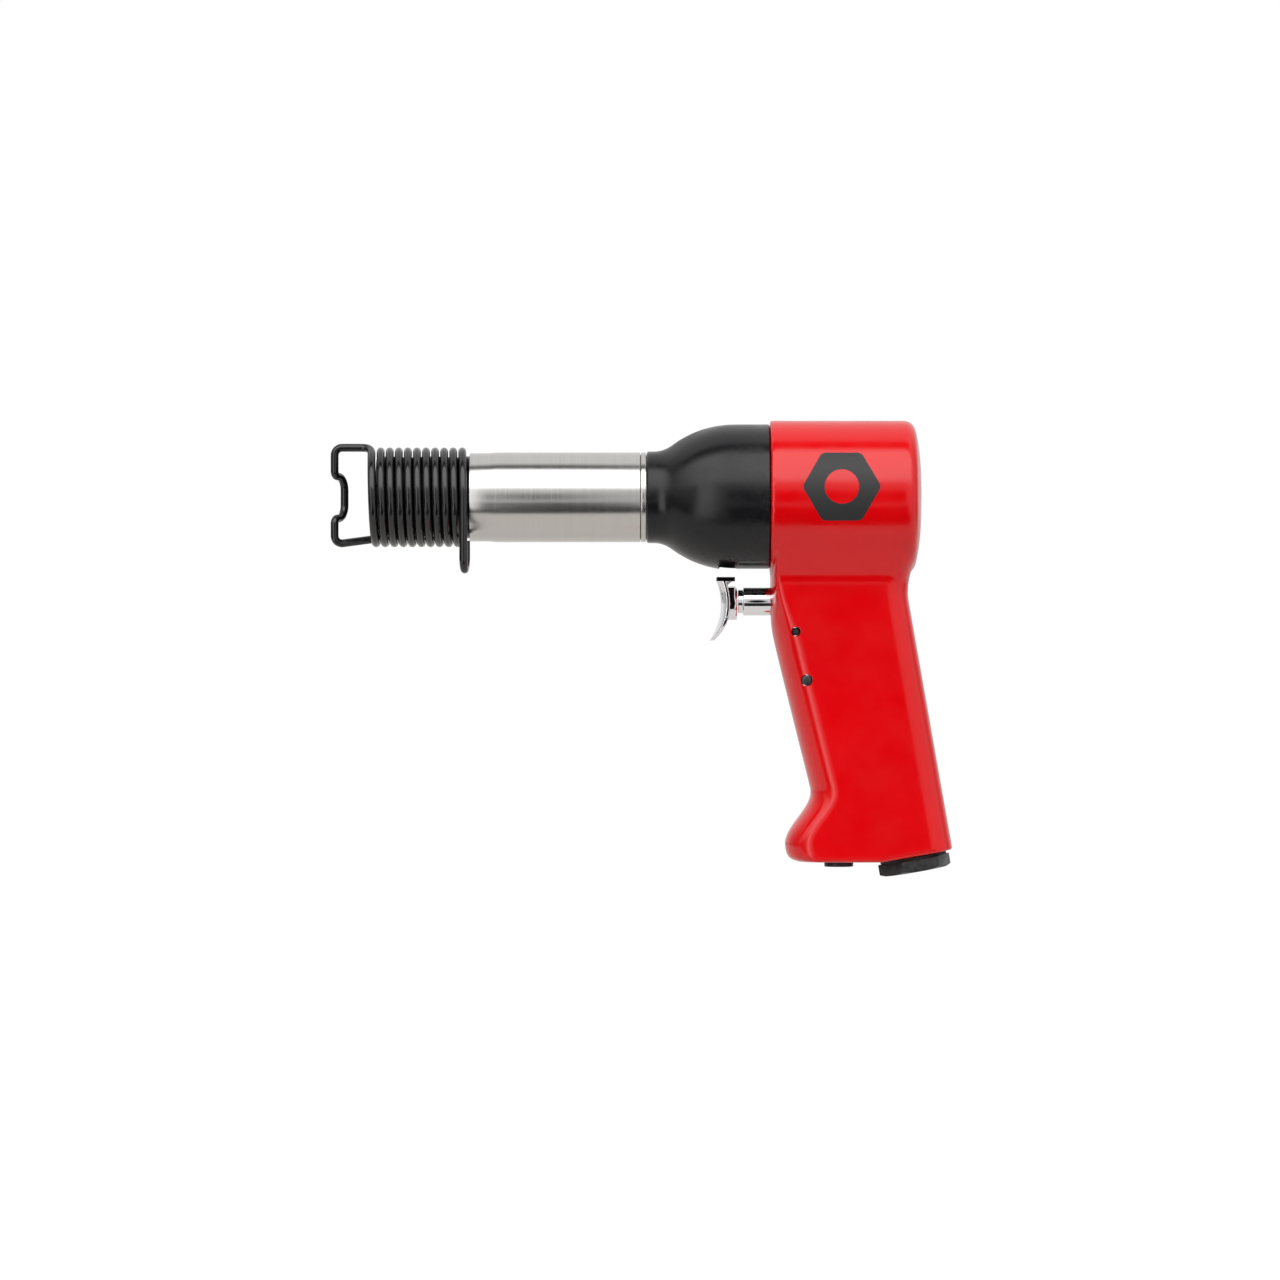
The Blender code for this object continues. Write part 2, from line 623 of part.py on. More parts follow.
def make_barrel(steel):
    front_r = BARREL_R - BARREL_FRONT_STEP
    bush_end = FRONT - NOSE_TIP + BUSH_LENGTH + 2.0 * GAP
    profile = [
        (FRONT - NOSE_TIP, BUSH_R + GAP),
        (FRONT - NOSE_TIP, NOSE_R - NOSE_CHAMFER),
        (FRONT - NOSE_TIP + NOSE_CHAMFER, NOSE_R),
        (FRONT - NOSE_END, NOSE_R),
        (FRONT - NOSE_END, front_r),
        (FRONT - FRONT_STEP_END, front_r),
        (FRONT - FRONT_STEP_END + FRONT_TAPER, BARREL_R),
        (FRONT - BARREL_SHOULDER, BARREL_R),
        (FRONT - BARREL_SHOULDER, THREAD_R),
        (FRONT + THREAD_LENGTH, THREAD_R),
        (FRONT + THREAD_LENGTH, PISTON_BORE_R),
        (bush_end, PISTON_BORE_R),
        (bush_end, BUSH_R + GAP),
    ]
    barrel = piece("barrel", turned(profile, 36), steel)
    port = FRONT - EXHAUST_PORT_AT
    span = 2.0 * (THREAD_R + OVERCUT)
    flat = rod((port, -span / 2.0, 0.0), (0, 1, 0), span, EXHAUST_PORT_R, 10)
    second = port + EXHAUST_PORT_SPACING
    upright = rod((second, 0.0, -span / 2.0), (0, 0, 1), span, EXHAUST_PORT_R, 10)
    shape_with(barrel, "DIFFERENCE", tool("exhaust_ports", joined(flat, upright)))


def ring(name, start, length, inner, outer, look, segments=32):
    """A plain ring about the barrel axis."""
    profile = [(start, inner), (start, outer), (start + length, outer), (start + length, inner)]
    return piece(name, turned(profile, segments), look)


def make_bush_and_ring(steel):
    start = FRONT - NOSE_TIP + BUSH_SETBACK
    ring("chisel_bush", start, BUSH_LENGTH - BUSH_SETBACK, SHANK_BORE_R, BUSH_R, steel, 24)
    start = FRONT - BARREL_SHOULDER + GAP
    length = BARREL_SHOULDER - BELL_FRONT - 2.0 * GAP
    ring("barrel_ring", start, length, THREAD_R + GAP, BARREL_R, steel, 36)


def make_piston(steel):
    start = FRONT - NOSE_TIP + BUSH_LENGTH + 3.0 * GAP
    end = start + PISTON_LENGTH
    shoulder = start + PISTON_NOSE_LENGTH
    chamfer = PISTON_CHAMFER
    profile = [
        (start, 0.0),
        (start, PISTON_NOSE_R),
        (shoulder, PISTON_NOSE_R),
        (shoulder + chamfer, PISTON_R),
        (end - chamfer, PISTON_R),
        (end, PISTON_R - chamfer),
        (end, 0.0),
    ]
    piece("piston", turned(profile, 28), steel, (start, 0.0, 0.0))


def bell_outline(shift):
    """Throat and shoulder arcs of the bell, offset inwards by a wall."""
    shoulder_r, throat_r = BELL_SHOULDER_R - shift, BELL_THROAT_R + shift
    shoulder = (FRONT - BELL_SHOULDER_AT, BELL_R - BELL_SHOULDER_R)
    rise = BELL_LIP_R + BELL_THROAT_R - shoulder[1]
    lean = math.acos(rise / (BELL_SHOULDER_R + BELL_THROAT_R))
    throat = (
        shoulder[0] - (BELL_SHOULDER_R + BELL_THROAT_R) * math.sin(lean),
        BELL_LIP_R + BELL_THROAT_R,
    )
    low = arc(throat, throat_r, -math.pi / 2.0, -math.pi / 2.0 + lean, 3)
    high = arc(shoulder, shoulder_r, math.pi / 2.0 + lean, math.pi / 2.0, 5)
    return low + high[1:]


def make_bell(black):
    bore = THREAD_R + GAP
    start, end = FRONT - BELL_FRONT, FRONT - GAP
    outer = [(start, BELL_LIP_R)] + bell_outline(0.0) + [(end, BELL_R)]
    inner = [(x, r) for x, r in bell_outline(BELL_WALL) if r > bore + GAP]
    inner = [(start, bore), (inner[0][0] - BELL_WALL, bore)] + inner + [(end, BELL_R - BELL_WALL)]
    bell = piece("bell_sleeve", turned(outer + inner[::-1], 36), black)
    notch = block(
        (FRONT - NOTCH_FRONT, -NOTCH_HALF_WIDTH, -BELL_R - OVERCUT),
        (FRONT - NOTCH_BACK, NOTCH_HALF_WIDTH, -BELL_R + NOTCH_DEPTH),
    )
    flat = block(
        (FRONT - NOTCH_BACK - BELL_FLAT_START, -BELL_R, -BELL_R - OVERCUT),
        (FRONT + OVERCUT, BELL_R, -BELL_R + BELL_FLAT_DEPTH),
    )
    shape_with(bell, "DIFFERENCE", tool("exhaust_notch", notch), tool("bell_flat", flat))


# ---- valve group ---------------------------------------------------------------------------


def dowel_hole(start, length):
    place = Vector((start - OVERCUT, 0.0, DOWEL_CIRCLE_R))
    return rod(place, (1, 0, 0), length + 2.0 * OVERCUT, DOWEL_R + GAP, 10)


def make_valve_group(steel, brass, rubber):
    box_start = FRONT + THREAD_LENGTH + GAP
    box_end = box_start + VALVE_BOX_LENGTH
    floor = box_start + VALVE_FLOOR
    profile = [
        (box_start, VALVE_PORT_R),
        (box_start, THREAD_R),
        (box_end, THREAD_R),
        (box_end, VALVE_CHAMBER_R),
        (floor, VALVE_CHAMBER_R),
        (floor, VALVE_PORT_R),
    ]
    box = piece("valve_box", turned(profile, 32), steel)
    shape_with(box, "DIFFERENCE", tool("box_dowel_hole", dowel_hole(box_start, VALVE_BOX_LENGTH)))

    shuttle_start = floor + GAP
    shuttle_r = VALVE_CHAMBER_R - GAP
    shuttle_end = shuttle_start + SHUTTLE_LENGTH
    profile = [
        (shuttle_start, SHUTTLE_BORE_R),
        (shuttle_start, shuttle_r),
        (shuttle_start + SHUTTLE_RIM, shuttle_r),
        (shuttle_start + SHUTTLE_RIM, shuttle_r - SHUTTLE_RIM),
        (shuttle_end - SHUTTLE_RIM, shuttle_r - SHUTTLE_RIM),
        (shuttle_end - SHUTTLE_RIM, shuttle_r),
        (shuttle_end, shuttle_r),
        (shuttle_end, SHUTTLE_BORE_R),
    ]
    piece("valve_shuttle", turned(profile, 24), brass, (shuttle_start, 0.0, 0.0))

    cap_start = box_end + GAP
    disc = rod((cap_start, 0.0, 0.0), (1, 0, 0), VALVE_CAP_LENGTH, THREAD_R, 32)
    cap = piece("valve_cap", disc, steel)
    holes = [dowel_hole(cap_start, VALVE_CAP_LENGTH)]
    for i in range(CAP_PORTS):
        angle = 2.0 * math.pi * (i + 0.5) / CAP_PORTS
        y = CAP_PORT_CIRCLE_R * math.cos(angle)
        z = CAP_PORT_CIRCLE_R * math.sin(angle)
        place = (cap_start - OVERCUT, y, z)
        holes.append(rod(place, (1, 0, 0), VALVE_CAP_LENGTH + 2.0 * OVERCUT, CAP_PORT_R, 10))
    shape_with(cap, "DIFFERENCE", tool("cap_holes", joined(*holes)))

    dowel_length = VALVE_BOX_LENGTH + VALVE_CAP_LENGTH - GAP
    dowel = rod((box_start + GAP, 0.0, DOWEL_CIRCLE_R), (1, 0, 0), dowel_length, DOWEL_R, 12)
    piece("valve_dowel", dowel, steel)
    start = cap_start + VALVE_CAP_LENGTH + GAP
    ring("valve_gasket", start, GASKET_THICKNESS, AIR_CHAMBER_R, THREAD_R, rubber)


# ---- trigger and throttle ------------------------------------------------------------------


def trigger_face(z):
    """The finger curve's place at a height, on the middle line."""
    centre_x = FRONT - TRIGGER_FACE_AT - TRIGGER_FACE_R
    drop = z + PLUNGER_DROP + TRIGGER_FACE_DROP
    return centre_x + math.sqrt(TRIGGER_FACE_R**2 - drop**2)


def blade_solid():
    """The curved and crowned finger plate."""
    top, tip = -PLUNGER_DROP + TRIGGER_TOP, -PLUNGER_DROP - TRIGGER_TIP
    rings = []
    for i in range(BLADE_STEPS + 1):
        z = top + (tip - top) * i / BLADE_STEPS
        share = max(0.0, (i - BLADE_STEPS / 2.0) / (BLADE_STEPS / 2.0 + BLADE_BLUNTNESS))
        half = TRIGGER_HALF_WIDTH * math.sqrt(1.0 - share**BLADE_ROUNDING)
        face = []
        for side in (-1.0, -0.6, -0.2, 0.2, 0.6, 1.0):
            crown = TRIGGER_CROWN * (side * half / TRIGGER_HALF_WIDTH) ** 2
            face.append((trigger_face(z) + crown, side * half, z))
        back = [(x + TRIGGER_PLATE, y, z) for x, y, z in reversed(face)]
        rings.append(face + back)
    return lofted(rings)


def make_trigger(chrome, rubber):
    axis = (FRONT, 0.0, -PLUNGER_DROP)
    blade = piece("trigger_blade", blade_solid(), chrome, axis)
    bar_top = -PLUNGER_DROP + TRIGGER_TOP + TRIGGER_BAR_HEIGHT - TRIGGER_BAR_OVERLAP
    bar_front = trigger_face(-PLUNGER_DROP + TRIGGER_TOP) - TRIGGER_BAR_LIP
    bar = block(
        (bar_front, -TRIGGER_HALF_WIDTH, bar_top - TRIGGER_BAR_HEIGHT),
        (bar_front + TRIGGER_BAR_LENGTH, TRIGGER_HALF_WIDTH, bar_top),
    )
    boss_back = FRONT - PLUNGER_FRONT - NECK_LENGTH
    start = (boss_back - BOSS_LENGTH, 0.0, -PLUNGER_DROP - BOSS_DROP)
    boss = rod(start, (1, 0, 0), BOSS_LENGTH, BOSS_R, 20)
    shape_with(blade, "UNION", tool("trigger_bar", bar), tool("trigger_boss", boss))

    groove = FRONT + SEAL_GROOVE_AT
    groove_r = PLUNGER_R - SEAL_GROOVE_DEPTH
    end = FRONT + PLUNGER_BACK
    profile = [
        (boss_back + GAP, 0.0),
        (boss_back + GAP, NECK_R),
        (FRONT - PLUNGER_FRONT, NECK_R),
        (FRONT - PLUNGER_FRONT, PLUNGER_R),
        (groove, PLUNGER_R),
        (groove, groove_r),
        (groove + SEAL_GROOVE_WIDTH, groove_r),
        (groove + SEAL_GROOVE_WIDTH, PLUNGER_R),
        (end, PLUNGER_R),
        (end, 0.0),
    ]
    rod_shape = aimed(turned(profile, 28), (1, 0, 0), Vector((0.0, 0.0, -PLUNGER_DROP)))
    plunger = piece("trigger_plunger", rod_shape, chrome, axis)
    shape_with(plunger, "DIFFERENCE", *plunger_slots())
    bore_axis = Vector((0.0, 0.0, -PLUNGER_DROP))
    seal = seal_ring(groove, groove_r, SEAL_GROOVE_WIDTH, PLUNGER_R)
    piece("plunger_seal", aimed(seal, (1, 0, 0), bore_axis), rubber, bore_axis)


def plunger_slots():
    """The slot for the lever's tip, and the wider one below it that the arm leans in."""
    slot_x = PIVOT.x - TRIGGER_TRAVEL / 2.0
    half_y = LEVER_HALF_THICKNESS + GAP
    tip_half = LEVER_TIP_R + GAP
    lean = TRIGGER_TRAVEL / 2.0 * PLUNGER_R / (PIVOT_DROP - PLUNGER_DROP)
    arm_half = tip_half + lean
    bottom = -PLUNGER_DROP - PLUNGER_R - OVERCUT
    tip_top = -PLUNGER_DROP + tip_half
    arm_top = -PLUNGER_DROP - LEVER_TIP_R / 2.0
    narrow = block((slot_x - tip_half, -half_y, bottom), (slot_x + tip_half, half_y, tip_top))
    wide = block((slot_x - arm_half, -half_y, bottom), (slot_x + arm_half, half_y, arm_top))
    return (tool("tip_slot", narrow), tool("arm_slot", wide))


def seal_ring(start, inner, width, outer):
    """A round sealing ring in a groove about X that starts at a distance along it."""
    middle = start + width / 2.0
    section_r = min(width / 2.0 - GAP / 2.0, (outer - inner) / 2.0)
    centre = (middle, inner + GAP / 2.0 + section_r)
    return turned(arc(centre, section_r, 0.0, 2.0 * math.pi, 6)[:-1], 16)


def make_lever(steel):
    """Bell crank: hub on the pin, arm up into the plunger, toe over the valve."""
    arm = PIVOT_DROP - PLUNGER_DROP
    tip = Vector((PIVOT.x - TRIGGER_TRAVEL / 2.0, 0.0, PIVOT.z + arm))
    up = (tip - PIVOT).normalized()
    aside = Vector((up.z, 0.0, -up.x))
    toe_way = PIN_LINE_SIDE * math.cos(LEVER_TOE_ANGLE) + PIN_LINE * math.sin(LEVER_TOE_ANGLE)
    toe = PIVOT + toe_way * LEVER_TOE_REACH
    arm_plate = bar_between(PIVOT, tip, aside * LEVER_TIP_R * LEVER_WEB_SHARE)
    across = Vector((0.0, LEVER_HALF_THICKNESS, 0.0))
    thickness = 2.0 * LEVER_HALF_THICKNESS
    hub = rod(PIVOT - across, (0, 1, 0), thickness, HUB_R, 20)
    lever = piece("throttle_lever", hub, steel, PIVOT)
    knob = rod(tip - across, (0, 1, 0), thickness, LEVER_TIP_R, 12)
    lobe = rod(toe - across, (0, 1, 0), thickness, LEVER_TOE_R, 12)
    toe_aside = Vector((toe_way.z, 0.0, -toe_way.x))
    link = bar_between(PIVOT, toe, toe_aside * LEVER_TOE_R * LEVER_WEB_SHARE)
    shape_with(lever, "UNION", tool("lever_arm", arm_plate), tool("lever_tip", knob))
    shape_with(lever, "UNION", tool("lever_toe", lobe), tool("lever_link", link))
    hole = cross_hole(PIVOT, PIVOT_HOLE_R, 12)
    shape_with(lever, "DIFFERENCE", tool("lever_hole", hole))


def bar_between(start, end, aside):
    """A flat bar of the lever's thickness between two points, as wide as twice aside."""
    corners = [start + aside, start - aside, end - aside, end + aside]
    return extruded([(p.x, p.z) for p in corners], LEVER_HALF_THICKNESS)


def make_pins(steel):
    length = 2.0 * (GRIP_HALF_WIDTH - PIVOT_PIN_RECESS)
    start = PIVOT - Vector((0.0, length / 2.0, 0.0))
    piece("lever_pivot_pin", rod(start, (0, 1, 0), length, PIVOT_PIN_R, 14), steel)
    length = 2.0 * (GRIP_HALF_WIDTH - REST_PIN_RECESS)
    start = along_pin_line(REST_PIN_AT) - Vector((0.0, length / 2.0, 0.0))
    piece("spring_rest_pin", rod(start, (0, 1, 0), length, REST_PIN_R, 14), steel)


def make_throttle_valve(brass, steel):
    cap_end = VALVE_TOP + VALVE_CAP_THICKNESS
    head = SEAT_BOTTOM + GAP
    head_end = head + VALVE_HEAD_THICKNESS
    guide_r = SPRING_R - SPRING_WIRE_R - GAP
    profile = [
        (VALVE_TOP, 0.0),
        (VALVE_TOP, VALVE_CAP_R),
        (cap_end, VALVE_CAP_R),
        (cap_end, VALVE_STEM_R),
        (head, VALVE_STEM_R),
        (head, VALVE_HEAD_R),
        (head_end, VALVE_HEAD_R),
        (head_end, guide_r),
        (head_end + VALVE_GUIDE_LENGTH, guide_r),
        (head_end + VALVE_GUIDE_LENGTH, 0.0),
    ]
    piece("throttle_valve", aimed(turned(profile, 24), PIN_LINE, PIVOT), brass, PIVOT)
    profile = [
        (SEAT_TOP, SEAT_BORE_R),
        (SEAT_TOP, THROTTLE_BORE_R - GAP),
        (SEAT_BOTTOM, THROTTLE_BORE_R - GAP),
        (SEAT_BOTTOM, SEAT_BORE_R),
    ]
    piece("throttle_seat", aimed(turned(profile, 24), PIN_LINE, PIVOT), brass)
    start = head_end + SPRING_WIRE_R + GAP
    end = REST_PIN_AT - REST_PIN_R - SPRING_WIRE_R - GAP
    steps = int(SPRING_TURNS * 12)
    points = []
    for i in range(steps + 1):
        share = i / steps
        angle = 2.0 * math.pi * SPRING_TURNS * share
        centre = along_pin_line(start + (end - start) * share, SPRING_R * math.cos(angle))
        points.append(centre + Vector((0.0, SPRING_R * math.sin(angle), 0.0)))
    wire("throttle_spring", points, SPRING_WIRE_R, steel, 6)


# ---- regulator and inlet -------------------------------------------------------------------


def make_regulator(black, rubber):
    x = FRONT + REGULATOR_BACK
    foot = Vector((x, 0.0, UNDERSIDE))
    disc_bottom = -GAP - REGULATOR_DISC_THICKNESS
    seal_r = REGULATOR_STEM_R - REGULATOR_GROOVE_DEPTH
    seal_start = REGULATOR_SEAL_HEIGHT
    seal_end = seal_start + REGULATOR_GROOVE_WIDTH
    hollow_start = FEED_HEIGHT - REGULATOR_WINDOW_R - REGULATOR_HOLLOW_ROOM
    profile = [
        (disc_bottom, 0.0),
        (disc_bottom, REGULATOR_DISC_R - REGULATOR_CHAMFER),
        (disc_bottom + REGULATOR_CHAMFER, REGULATOR_DISC_R),
        (-GAP, REGULATOR_DISC_R),
        (-GAP, REGULATOR_STEM_R),
        (seal_start, REGULATOR_STEM_R),
        (seal_start, seal_r),
        (seal_end, seal_r),
        (seal_end, REGULATOR_STEM_R),
        (REGULATOR_LENGTH, REGULATOR_STEM_R),
        (REGULATOR_LENGTH, REGULATOR_HOLLOW_R),
        (hollow_start, REGULATOR_HOLLOW_R),
        (hollow_start, 0.0),
    ]
    spindle = piece("regulator_spindle", aimed(turned(profile, 28), (0, 0, 1), foot), black, foot)
    window_place = foot + Vector((0.0, 0.0, FEED_HEIGHT))
    window_length = REGULATOR_STEM_R + OVERCUT
    window = rod(window_place, (1, 0, 0), window_length, REGULATOR_WINDOW_R, 10)
    reach = REGULATOR_DISC_R + OVERCUT
    disc_z = UNDERSIDE + disc_bottom
    slot = block(
        (x - reach, -SLOT_WIDTH / 2.0, disc_z - OVERCUT),
        (x + reach, SLOT_WIDTH / 2.0, disc_z + SLOT_DEPTH),
    )
    shape_with(spindle, "DIFFERENCE", tool("feed_window", window), tool("driver_slot", slot))
    seal = seal_ring(seal_start, seal_r, REGULATOR_GROOVE_WIDTH, REGULATOR_STEM_R)
    piece("regulator_seal", aimed(seal, (0, 0, 1), foot), rubber, foot)


def hexagon_prism(start, length, across):
    """A hexagonal bar along the inlet's axis, with a flat towards the side of the grip."""
    shape = bmesh.new()
    corner_r = across / math.sqrt(3.0)
    bmesh.ops.create_cone(
        shape, cap_ends=True, segments=6, depth=length, radius1=corner_r, radius2=corner_r
    )
    bmesh.ops.rotate(shape, verts=shape.verts, matrix=Matrix.Rotation(math.pi / 2.0, 3, "Y"))
    bmesh.ops.rotate(shape, verts=shape.verts, matrix=Matrix.Rotation(INLET_HEX_TURN, 3, "X"))
    bmesh.ops.translate(shape, verts=shape.verts, vec=(start + length / 2.0, 0.0, 0.0))
    return shape


def make_inlet(black, rubber, brass):
    """Hexagonal bushing, its sealing ring and the screen behind it; distances run downwards."""
    face = inlet_point(0.0)
    hex_top = INLET_SEAL_THICKNESS + 2.0 * GAP
    hex_end = hex_top + INLET_HEX_HEIGHT
    corner_r = INLET_HEX_ACROSS / math.sqrt(3.0)
    across = INLET_HEX_ACROSS / 2.0
    body = hexagon_prism(hex_top, INLET_HEX_HEIGHT, INLET_HEX_ACROSS)
    bushing = piece("inlet_bushing", aimed(body, INLET_AXIS, face), black)
    cone = [
        (hex_top - OVERCUT, 0.0),
        (hex_top - OVERCUT, corner_r + OVERCUT),
        (hex_end - INLET_CHAMFER, corner_r + INLET_HEX_TRIM),
        (hex_end, across - INLET_HEX_TRIM),
        (hex_end, 0.0),
    ]
    spigot_end = inlet_point(INLET_SPIGOT_LENGTH)
    spigot_length = INLET_SPIGOT_LENGTH + hex_top + OVERCUT
    spigot = rod(spigot_end, INLET_AXIS, spigot_length, INLET_SPIGOT_R, 24)
    bore_start = inlet_point(INLET_SPIGOT_LENGTH + OVERCUT)
    bore_length = INLET_SPIGOT_LENGTH + hex_end + 2.0 * OVERCUT
    bore = rod(bore_start, INLET_AXIS, bore_length, INLET_BORE_R, 24)
    chamfer = aimed(turned(cone, 48), INLET_AXIS, face)
    shape_with(bushing, "INTERSECT", tool("hex_chamfer", chamfer))
    shape_with(bushing, "UNION", tool("inlet_spigot", spigot))
    shape_with(bushing, "DIFFERENCE", tool("inlet_port", bore))

    inner = INLET_SPIGOT_R + GAP
    seal_end = GAP + INLET_SEAL_THICKNESS
    profile = [(GAP, inner), (GAP, INLET_SEAL_OUTER_R)]
    profile += [(seal_end, INLET_SEAL_OUTER_R), (seal_end, inner)]
    piece("inlet_seal", aimed(turned(profile, 24), INLET_AXIS, face), rubber)

    screen_r = INLET_SPIGOT_R - GAP
    start = inlet_point(INLET_SPIGOT_LENGTH + GAP + SCREEN_THICKNESS)
    screen = piece("inlet_screen", rod(start, INLET_AXIS, SCREEN_THICKNESS, screen_r, 24), brass)
    length = SCREEN_THICKNESS + 2.0 * OVERCUT
    holes = [rod(start - INLET_AXIS * OVERCUT, INLET_AXIS, length, SCREEN_HOLE_R, 8)]
    for i in range(SCREEN_HOLES):
        angle = 2.0 * math.pi * i / SCREEN_HOLES
        y = SCREEN_CIRCLE_R * math.cos(angle)
        z = SCREEN_CIRCLE_R * math.sin(angle)
        hole = rod((-OVERCUT, y, z), (1, 0, 0), length, SCREEN_HOLE_R, 8)
        holes.append(aimed(hole, INLET_AXIS, start))
    shape_with(screen, "DIFFERENCE", tool("screen_holes", joined(*holes)))


# ---- retainer ------------------------------------------------------------------------------


def coil_point(angle):
    """A point of the coil's wire; the wire starts at the top of the nose."""
    x = FRONT - COIL_FRONT + COIL_PITCH * angle / (2.0 * math.pi)
    return Vector((x, -COIL_R * math.sin(angle), COIL_R * math.cos(angle)))


def lead_in():
    """The bend from the loop's top limb into the first turn."""
    first = LEAD_TURN
    start = Vector((FRONT - LOOP_SPLIT + GAP / 2.0, 0.0, LIMB_HEIGHT))
    end = coil_point(first)
    tangent = (coil_point(first + 0.01) - end).normalized()
    leave = start + Vector((LEAD_PULL, 0.0, 0.0))
    arrive = end - tangent * LEAD_PULL
    bend = []
    for i in range(BEND_STEPS):
        t = i / BEND_STEPS
        a = start.lerp(leave, t)
        b = leave.lerp(arrive, t)
        c = arrive.lerp(end, t)
        bend.append(a.lerp(b, t).lerp(b.lerp(c, t), t))
    return bend, first


def tail():
    """The hairpin finger tail that hangs off the last turn."""
    last = coil_point(2.0 * math.pi * COIL_TURNS)
    middle_y = last.y + TAIL_BEND_R
    points = [Vector((last.x, last.y, -TAIL_DROP))]
    for i in range(1, TAIL_STEPS):
        angle = math.pi * (1.0 + i / TAIL_STEPS)
        x = last.x + TAIL_SHIFT * i / TAIL_STEPS
        y = middle_y + TAIL_BEND_R * math.cos(angle)
        points.append(Vector((x, y, -TAIL_DROP + TAIL_BEND_R * math.sin(angle))))
    end_y = middle_y + TAIL_BEND_R
    points.append(Vector((last.x + TAIL_SHIFT, end_y, -TAIL_DROP)))
    points.append(Vector((last.x + TAIL_SHIFT, end_y, -TAIL_END_DROP)))
    return points


def make_retainer(black):
    bend, first = lead_in()
    last = 2.0 * math.pi * COIL_TURNS
    steps = round((last - first) / (2.0 * math.pi) * COIL_STEPS)
    turns = [coil_point(first + (last - first) * i / steps) for i in range(steps + 1)]
    wire("retainer_coil", bend + turns + tail(), WIRE_R, black, 6)

    front = FRONT - LOOP_FRONT
    bow_x = front + BOW_SETBACK
    corners = [
        ((FRONT - LOOP_SPLIT - GAP / 2.0, 0.0, LIMB_HEIGHT), 0.0),
        ((front, 0.0, LIMB_HEIGHT), LOOP_CORNER_R),
        ((front, 0.0, BOW_TOP), BOW_CORNER_R),
        ((bow_x, BOW_REACH, BOW_TOP - BOW_SLOPE), BOW_ROUND_R),
        ((bow_x, BOW_REACH, -BOW_BOTTOM + BOW_SLOPE), BOW_ROUND_R),
        ((front, 0.0, -BOW_BOTTOM), BOW_CORNER_R),
        ((front, 0.0, -LOOP_BOTTOM), LOOP_CORNER_R),
        ((FRONT - LOOP_END, LOOP_END_REACH, -LOOP_BOTTOM + LOOP_END_RISE), 0.0),
    ]
    hinge = (FRONT - LOOP_SPLIT, 0.0, LIMB_HEIGHT)
    wire("retainer_loop", rounded_path(corners), WIRE_R, black, 8, hinge)


def build():
    clear_scene()
    red = finish("red_enamel", (0.69, 0.0, 0.003), 0.3, 0.0)
    steel = finish("satin_steel", (0.62, 0.61, 0.59), 0.3, 1.0)
    hard_steel = finish("hardened_steel", (0.36, 0.36, 0.38), 0.35, 1.0)
    chrome = finish("polished_chrome", (0.82, 0.82, 0.84), 0.05, 1.0)
    sleeve_black = finish("sleeve_black", (0.018, 0.018, 0.02), 0.42, 0.0)
    spring_black = finish("spring_black", (0.012, 0.012, 0.013), 0.3, 0.0)
    fitting_black = finish("fitting_black", (0.015, 0.015, 0.016), 0.35, 0.0)
    brass = finish("brass", (0.72, 0.52, 0.22), 0.3, 1.0)
    rubber = finish("seal_rubber", (0.02, 0.02, 0.02), 0.7, 0.0)
    make_handle(red)
    make_barrel(steel)
    make_bush_and_ring(steel)
    make_piston(hard_steel)
    make_bell(sleeve_black)
    make_valve_group(hard_steel, brass, rubber)
    make_trigger(chrome, rubber)
    make_lever(hard_steel)
    make_pins(hard_steel)
    make_throttle_valve(brass, hard_steel)
    make_regulator(fitting_black, rubber)
    make_inlet(fitting_black, rubber, brass)
    make_retainer(spring_black)


build()
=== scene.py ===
import math

import bmesh
import bpy
from mathutils import Matrix, Vector


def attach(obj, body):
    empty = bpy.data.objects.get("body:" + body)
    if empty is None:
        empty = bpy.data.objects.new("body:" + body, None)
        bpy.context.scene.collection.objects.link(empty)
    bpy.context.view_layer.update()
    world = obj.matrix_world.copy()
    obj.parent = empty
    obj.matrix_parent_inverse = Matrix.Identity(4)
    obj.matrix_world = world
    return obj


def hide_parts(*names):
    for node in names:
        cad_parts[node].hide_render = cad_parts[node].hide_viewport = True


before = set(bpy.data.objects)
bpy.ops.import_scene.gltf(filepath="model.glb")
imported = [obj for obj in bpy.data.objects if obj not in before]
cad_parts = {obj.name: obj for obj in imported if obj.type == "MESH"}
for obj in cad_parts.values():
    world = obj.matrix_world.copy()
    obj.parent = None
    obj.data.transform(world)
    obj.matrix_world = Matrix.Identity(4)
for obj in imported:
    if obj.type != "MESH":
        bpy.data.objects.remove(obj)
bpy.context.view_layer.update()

bl_info = {
    "name": "Air Hammer",
    "version": (1, 0, 0),
    "blender": (4, 5, 0),
    "location": "View3D > Sidebar > Air Hammer",
    "description": "Builds the finished look of a pistol-grip air hammer around its frame",
    "category": "Add Mesh",
}

MM = 0.001
FINE = 128  # facets round the large turned pieces

# Clearances
GAP = 0.3 * MM
OVERCUT = 2.0 * MM

# Handle casting; +X runs to the back of the head and -Z down the grip
HEAD_LENGTH = 60.2 * MM
FRONT = -HEAD_LENGTH
HEAD_R = 30.6 * MM
HEAD_FLAT_R = 9.5 * MM
HEAD_DOME_R = 75.0 * MM
HEAD_CORNER_R = 4.8 * MM
SPIGOT_LENGTH = 1.5 * MM
GRIP_DEPTH = 145.4 * MM
UNDERSIDE = -GRIP_DEPTH
GRIP_HALF_WIDTH = 17.0 * MM
GRIP_RAKE = math.radians(10.0)
GRIP_REAR_X = -12.2 * MM
GRIP_THROAT = 57.1 * MM
GRIP_WAIST = 52.3 * MM
GRIP_TOE = 66.5 * MM
THROAT_DEPTH = 51.4 * MM
WAIST_HEIGHT = 29.0 * MM
TOE_HEIGHT = 6.0 * MM
TOE_CORNER_R = 4.0 * MM
GRIP_FRONT_ROUND = 11.0 * MM
FRONT_ROUND_TOP = 3.0 * MM
